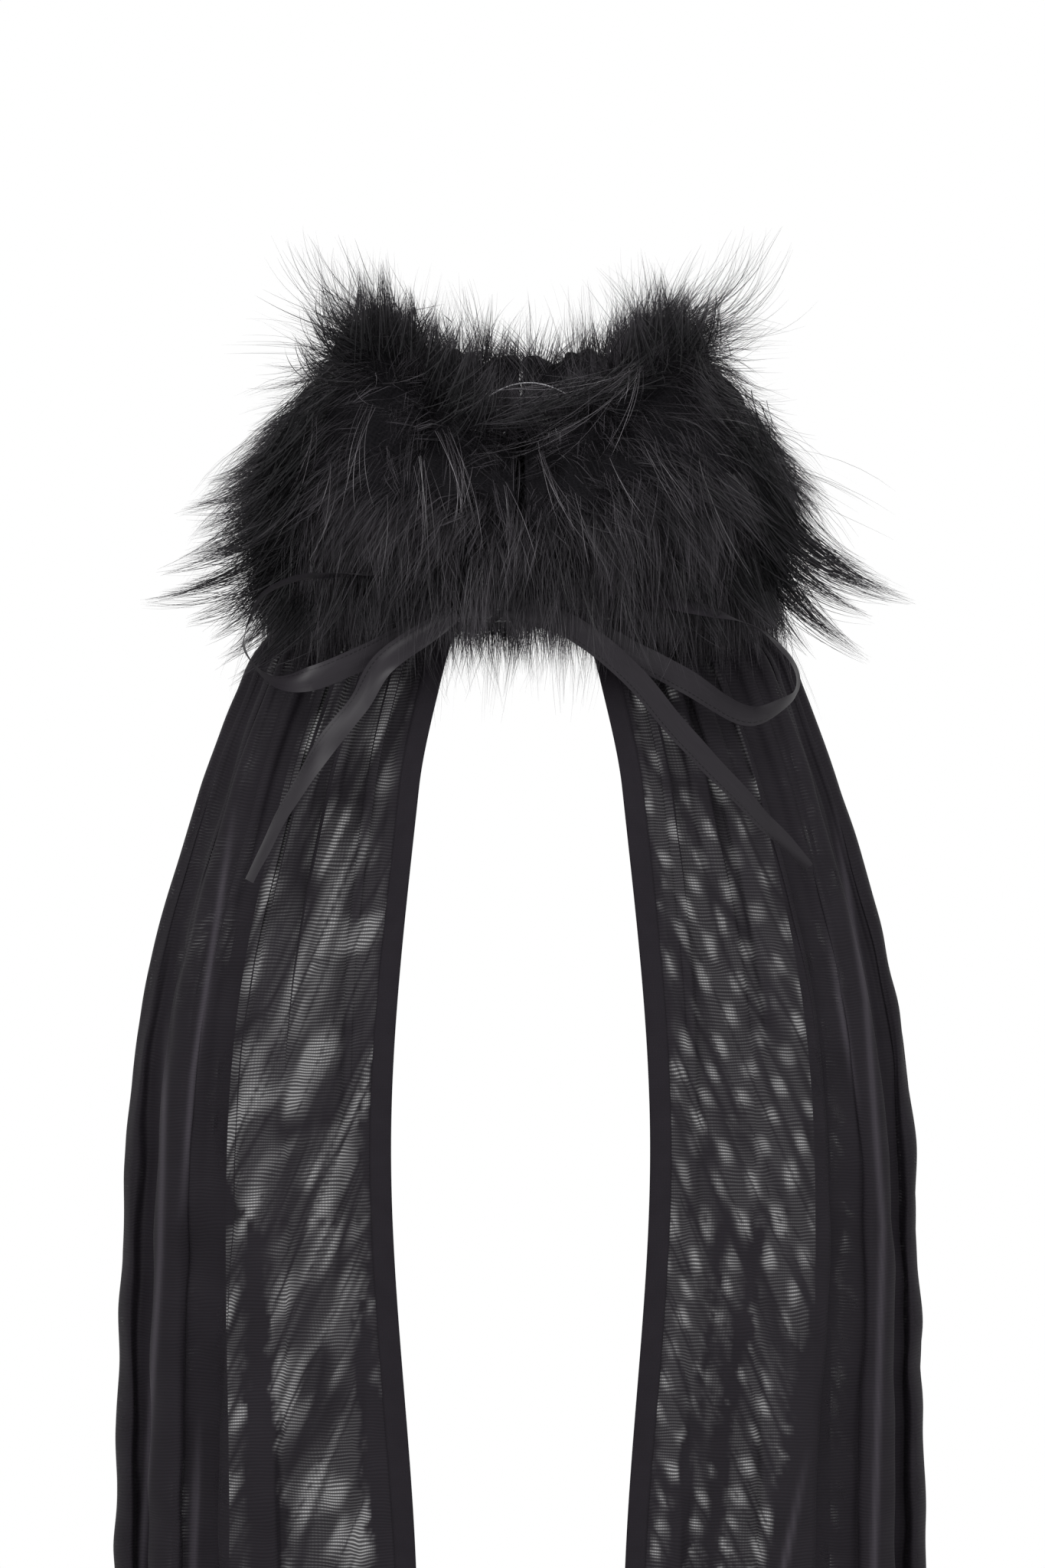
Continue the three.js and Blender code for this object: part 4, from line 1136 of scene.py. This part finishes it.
def ribbon_material():
    """Satin: fine lengthwise threads that shine across the ribbon, and one row of edge stitches."""
    material, tree, shader = new_material("ribbon_satin", 0.42, 0.28)
    shader.inputs["Anisotropic"].default_value = 0.4
    shader.inputs["Sheen Weight"].default_value = 0.04
    place = uv_place(tree)
    across, along = split_place(tree, place)
    streak = tree.nodes.new("ShaderNodeTexNoise")
    streak.inputs["Scale"].default_value = 1.0
    streak.inputs["Detail"].default_value = 3.0
    stretch = tree.nodes.new("ShaderNodeMapping")
    stretch.inputs["Scale"].default_value = (3000.0, 60.0, 1.0)
    tree.links.new(place, stretch.inputs["Vector"])
    tree.links.new(stretch.outputs["Vector"], streak.inputs["Vector"])
    near_edge = math_node(tree, "ABSOLUTE", math_node(tree, "SUBTRACT", across, 0.0025))
    on_row = math_node(tree, "LESS_THAN", near_edge, 0.00035)
    stitch_wave = math_node(tree, "SINE", math_node(tree, "MULTIPLY", along, 2 * math.pi / STITCH_PITCH))
    stitch = math_node(tree, "MULTIPLY", on_row, math_node(tree, "GREATER_THAN", stitch_wave, -0.3))
    tone = colour_between(tree, streak.outputs["Fac"], (0.013, 0.011, 0.014), (0.028, 0.024, 0.030))
    sewn = colour_between(tree, stitch, tone, (0.005, 0.004, 0.006))
    tree.links.new(sewn, shader.inputs["Base Color"])
    threads_up = math_node(tree, "MULTIPLY", streak.outputs["Fac"], 0.25)
    row_down = math_node(tree, "MULTIPLY", on_row, -0.6)
    relief = math_node(tree, "ADD", threads_up, row_down)
    relief = math_node(tree, "ADD", relief, math_node(tree, "MULTIPLY", stitch, 0.5))
    add_relief(tree, shader, relief, 0.5, 0.0003)
    return material


RIBBON_SATIN = ribbon_material()
for number, (name, (body, far_body, width, stops)) in enumerate(RIBBONS.items()):
    steps = 28 * (len(stops) - 1)
    line, turns = smooth_route(stops, steps)
    ahead = unit(np.gradient(line, axis=0))
    across = unit(np.cross([0.0, -1.0, 0.0], ahead))
    up = np.cross(ahead, across)
    run = np.concatenate([[0], np.cumsum(np.linalg.norm(np.diff(line, axis=0), axis=1))])
    limp = 0.5 * (value_noise(run / 0.03, 0, 40 + number) - 0.5)
    angle = turns + limp
    is_tail = "tail" in name
    if is_tail:
        angle = angle + np.radians(62) * (run / run[-1]) ** 1.6
    over = across * np.cos(angle)[:, None] + up * np.sin(angle)[:, None]
    face = np.cross(ahead, over)
    t = np.linspace(-0.5, 0.5, 11)
    pinch = 1 - 0.45 * np.exp(-run / 0.014)
    if "loop" in name:
        pinch -= 0.45 * np.exp(-(run[-1] - run) / 0.014)
    if is_tail:
        pinch *= 1 - 0.25 * (run / run[-1]) ** 2
    cup = (value_noise(run / 0.022, 0, 60 + number) - 0.5) * 0.003
    crease = 0.0012 * np.exp(-run / 0.03)
    rise = cup[:, None] * (4 * t**2)[None] + crease[:, None] * np.cos(3 * np.pi * t)[None]
    reach = (t[None] * width * pinch[:, None])[..., None]
    grid = line[:, None] + over[:, None] * reach + face[:, None] * rise[..., None]
    uv = np.stack(np.broadcast_arrays((t[None] + 0.5) * width, run[:, None]), axis=-1).reshape(-1, 2)
    quads = grid_quads(*grid.shape[:2])
    ribbon = mesh_piece(f"ribbon_{name}", grid.reshape(-1, 3), quads, RIBBON_SATIN, uv)
    if far_body is None:
        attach(ribbon, body)
    else:
        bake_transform(ribbon)
    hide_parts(name)

# The knot: one turn of ribbon drawn tight over the others, creased lengthwise.
around_knot, across_knot = patch_grid(np.linspace(0, 2 * np.pi, 49), np.linspace(-1, 1, 17))
waist = 0.80 + 0.20 * np.abs(across_knot) ** 2
crease = 1 + 0.05 * np.cos(7 * across_knot * 2 + 0.8 * np.sin(around_knot))
forward, upward = np.cos(around_knot), np.sin(around_knot)
knot_y = KNOT["depth"] / 2 * np.sign(forward) * np.abs(forward) ** 0.8 * crease * waist
knot_z = KNOT["height"] / 2 * np.sign(upward) * np.abs(upward) ** 0.8 * crease * waist
knot_x = KNOT["width"] / 2 * across_knot * (0.86 + 0.1 * np.cos(around_knot * 2))
close = np.sqrt(np.clip(1 - np.abs(across_knot) ** 6, 0.02, 1))
knot_points = np.stack((knot_x + KNOT["x"], knot_y * close + KNOT["y"], knot_z * close + KNOT["z"]), axis=-1)
knot_uv = np.stack((across_knot * 0.008 + 0.008, around_knot * 0.009), axis=-1).reshape(-1, 2)
knot_quads = grid_quads(*around_knot.shape)
knot = mesh_piece("bow_knot_wrap", knot_points.reshape(-1, 3), knot_quads, RIBBON_SATIN, knot_uv)
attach(knot, "left_collar")
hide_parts("bow_knot")
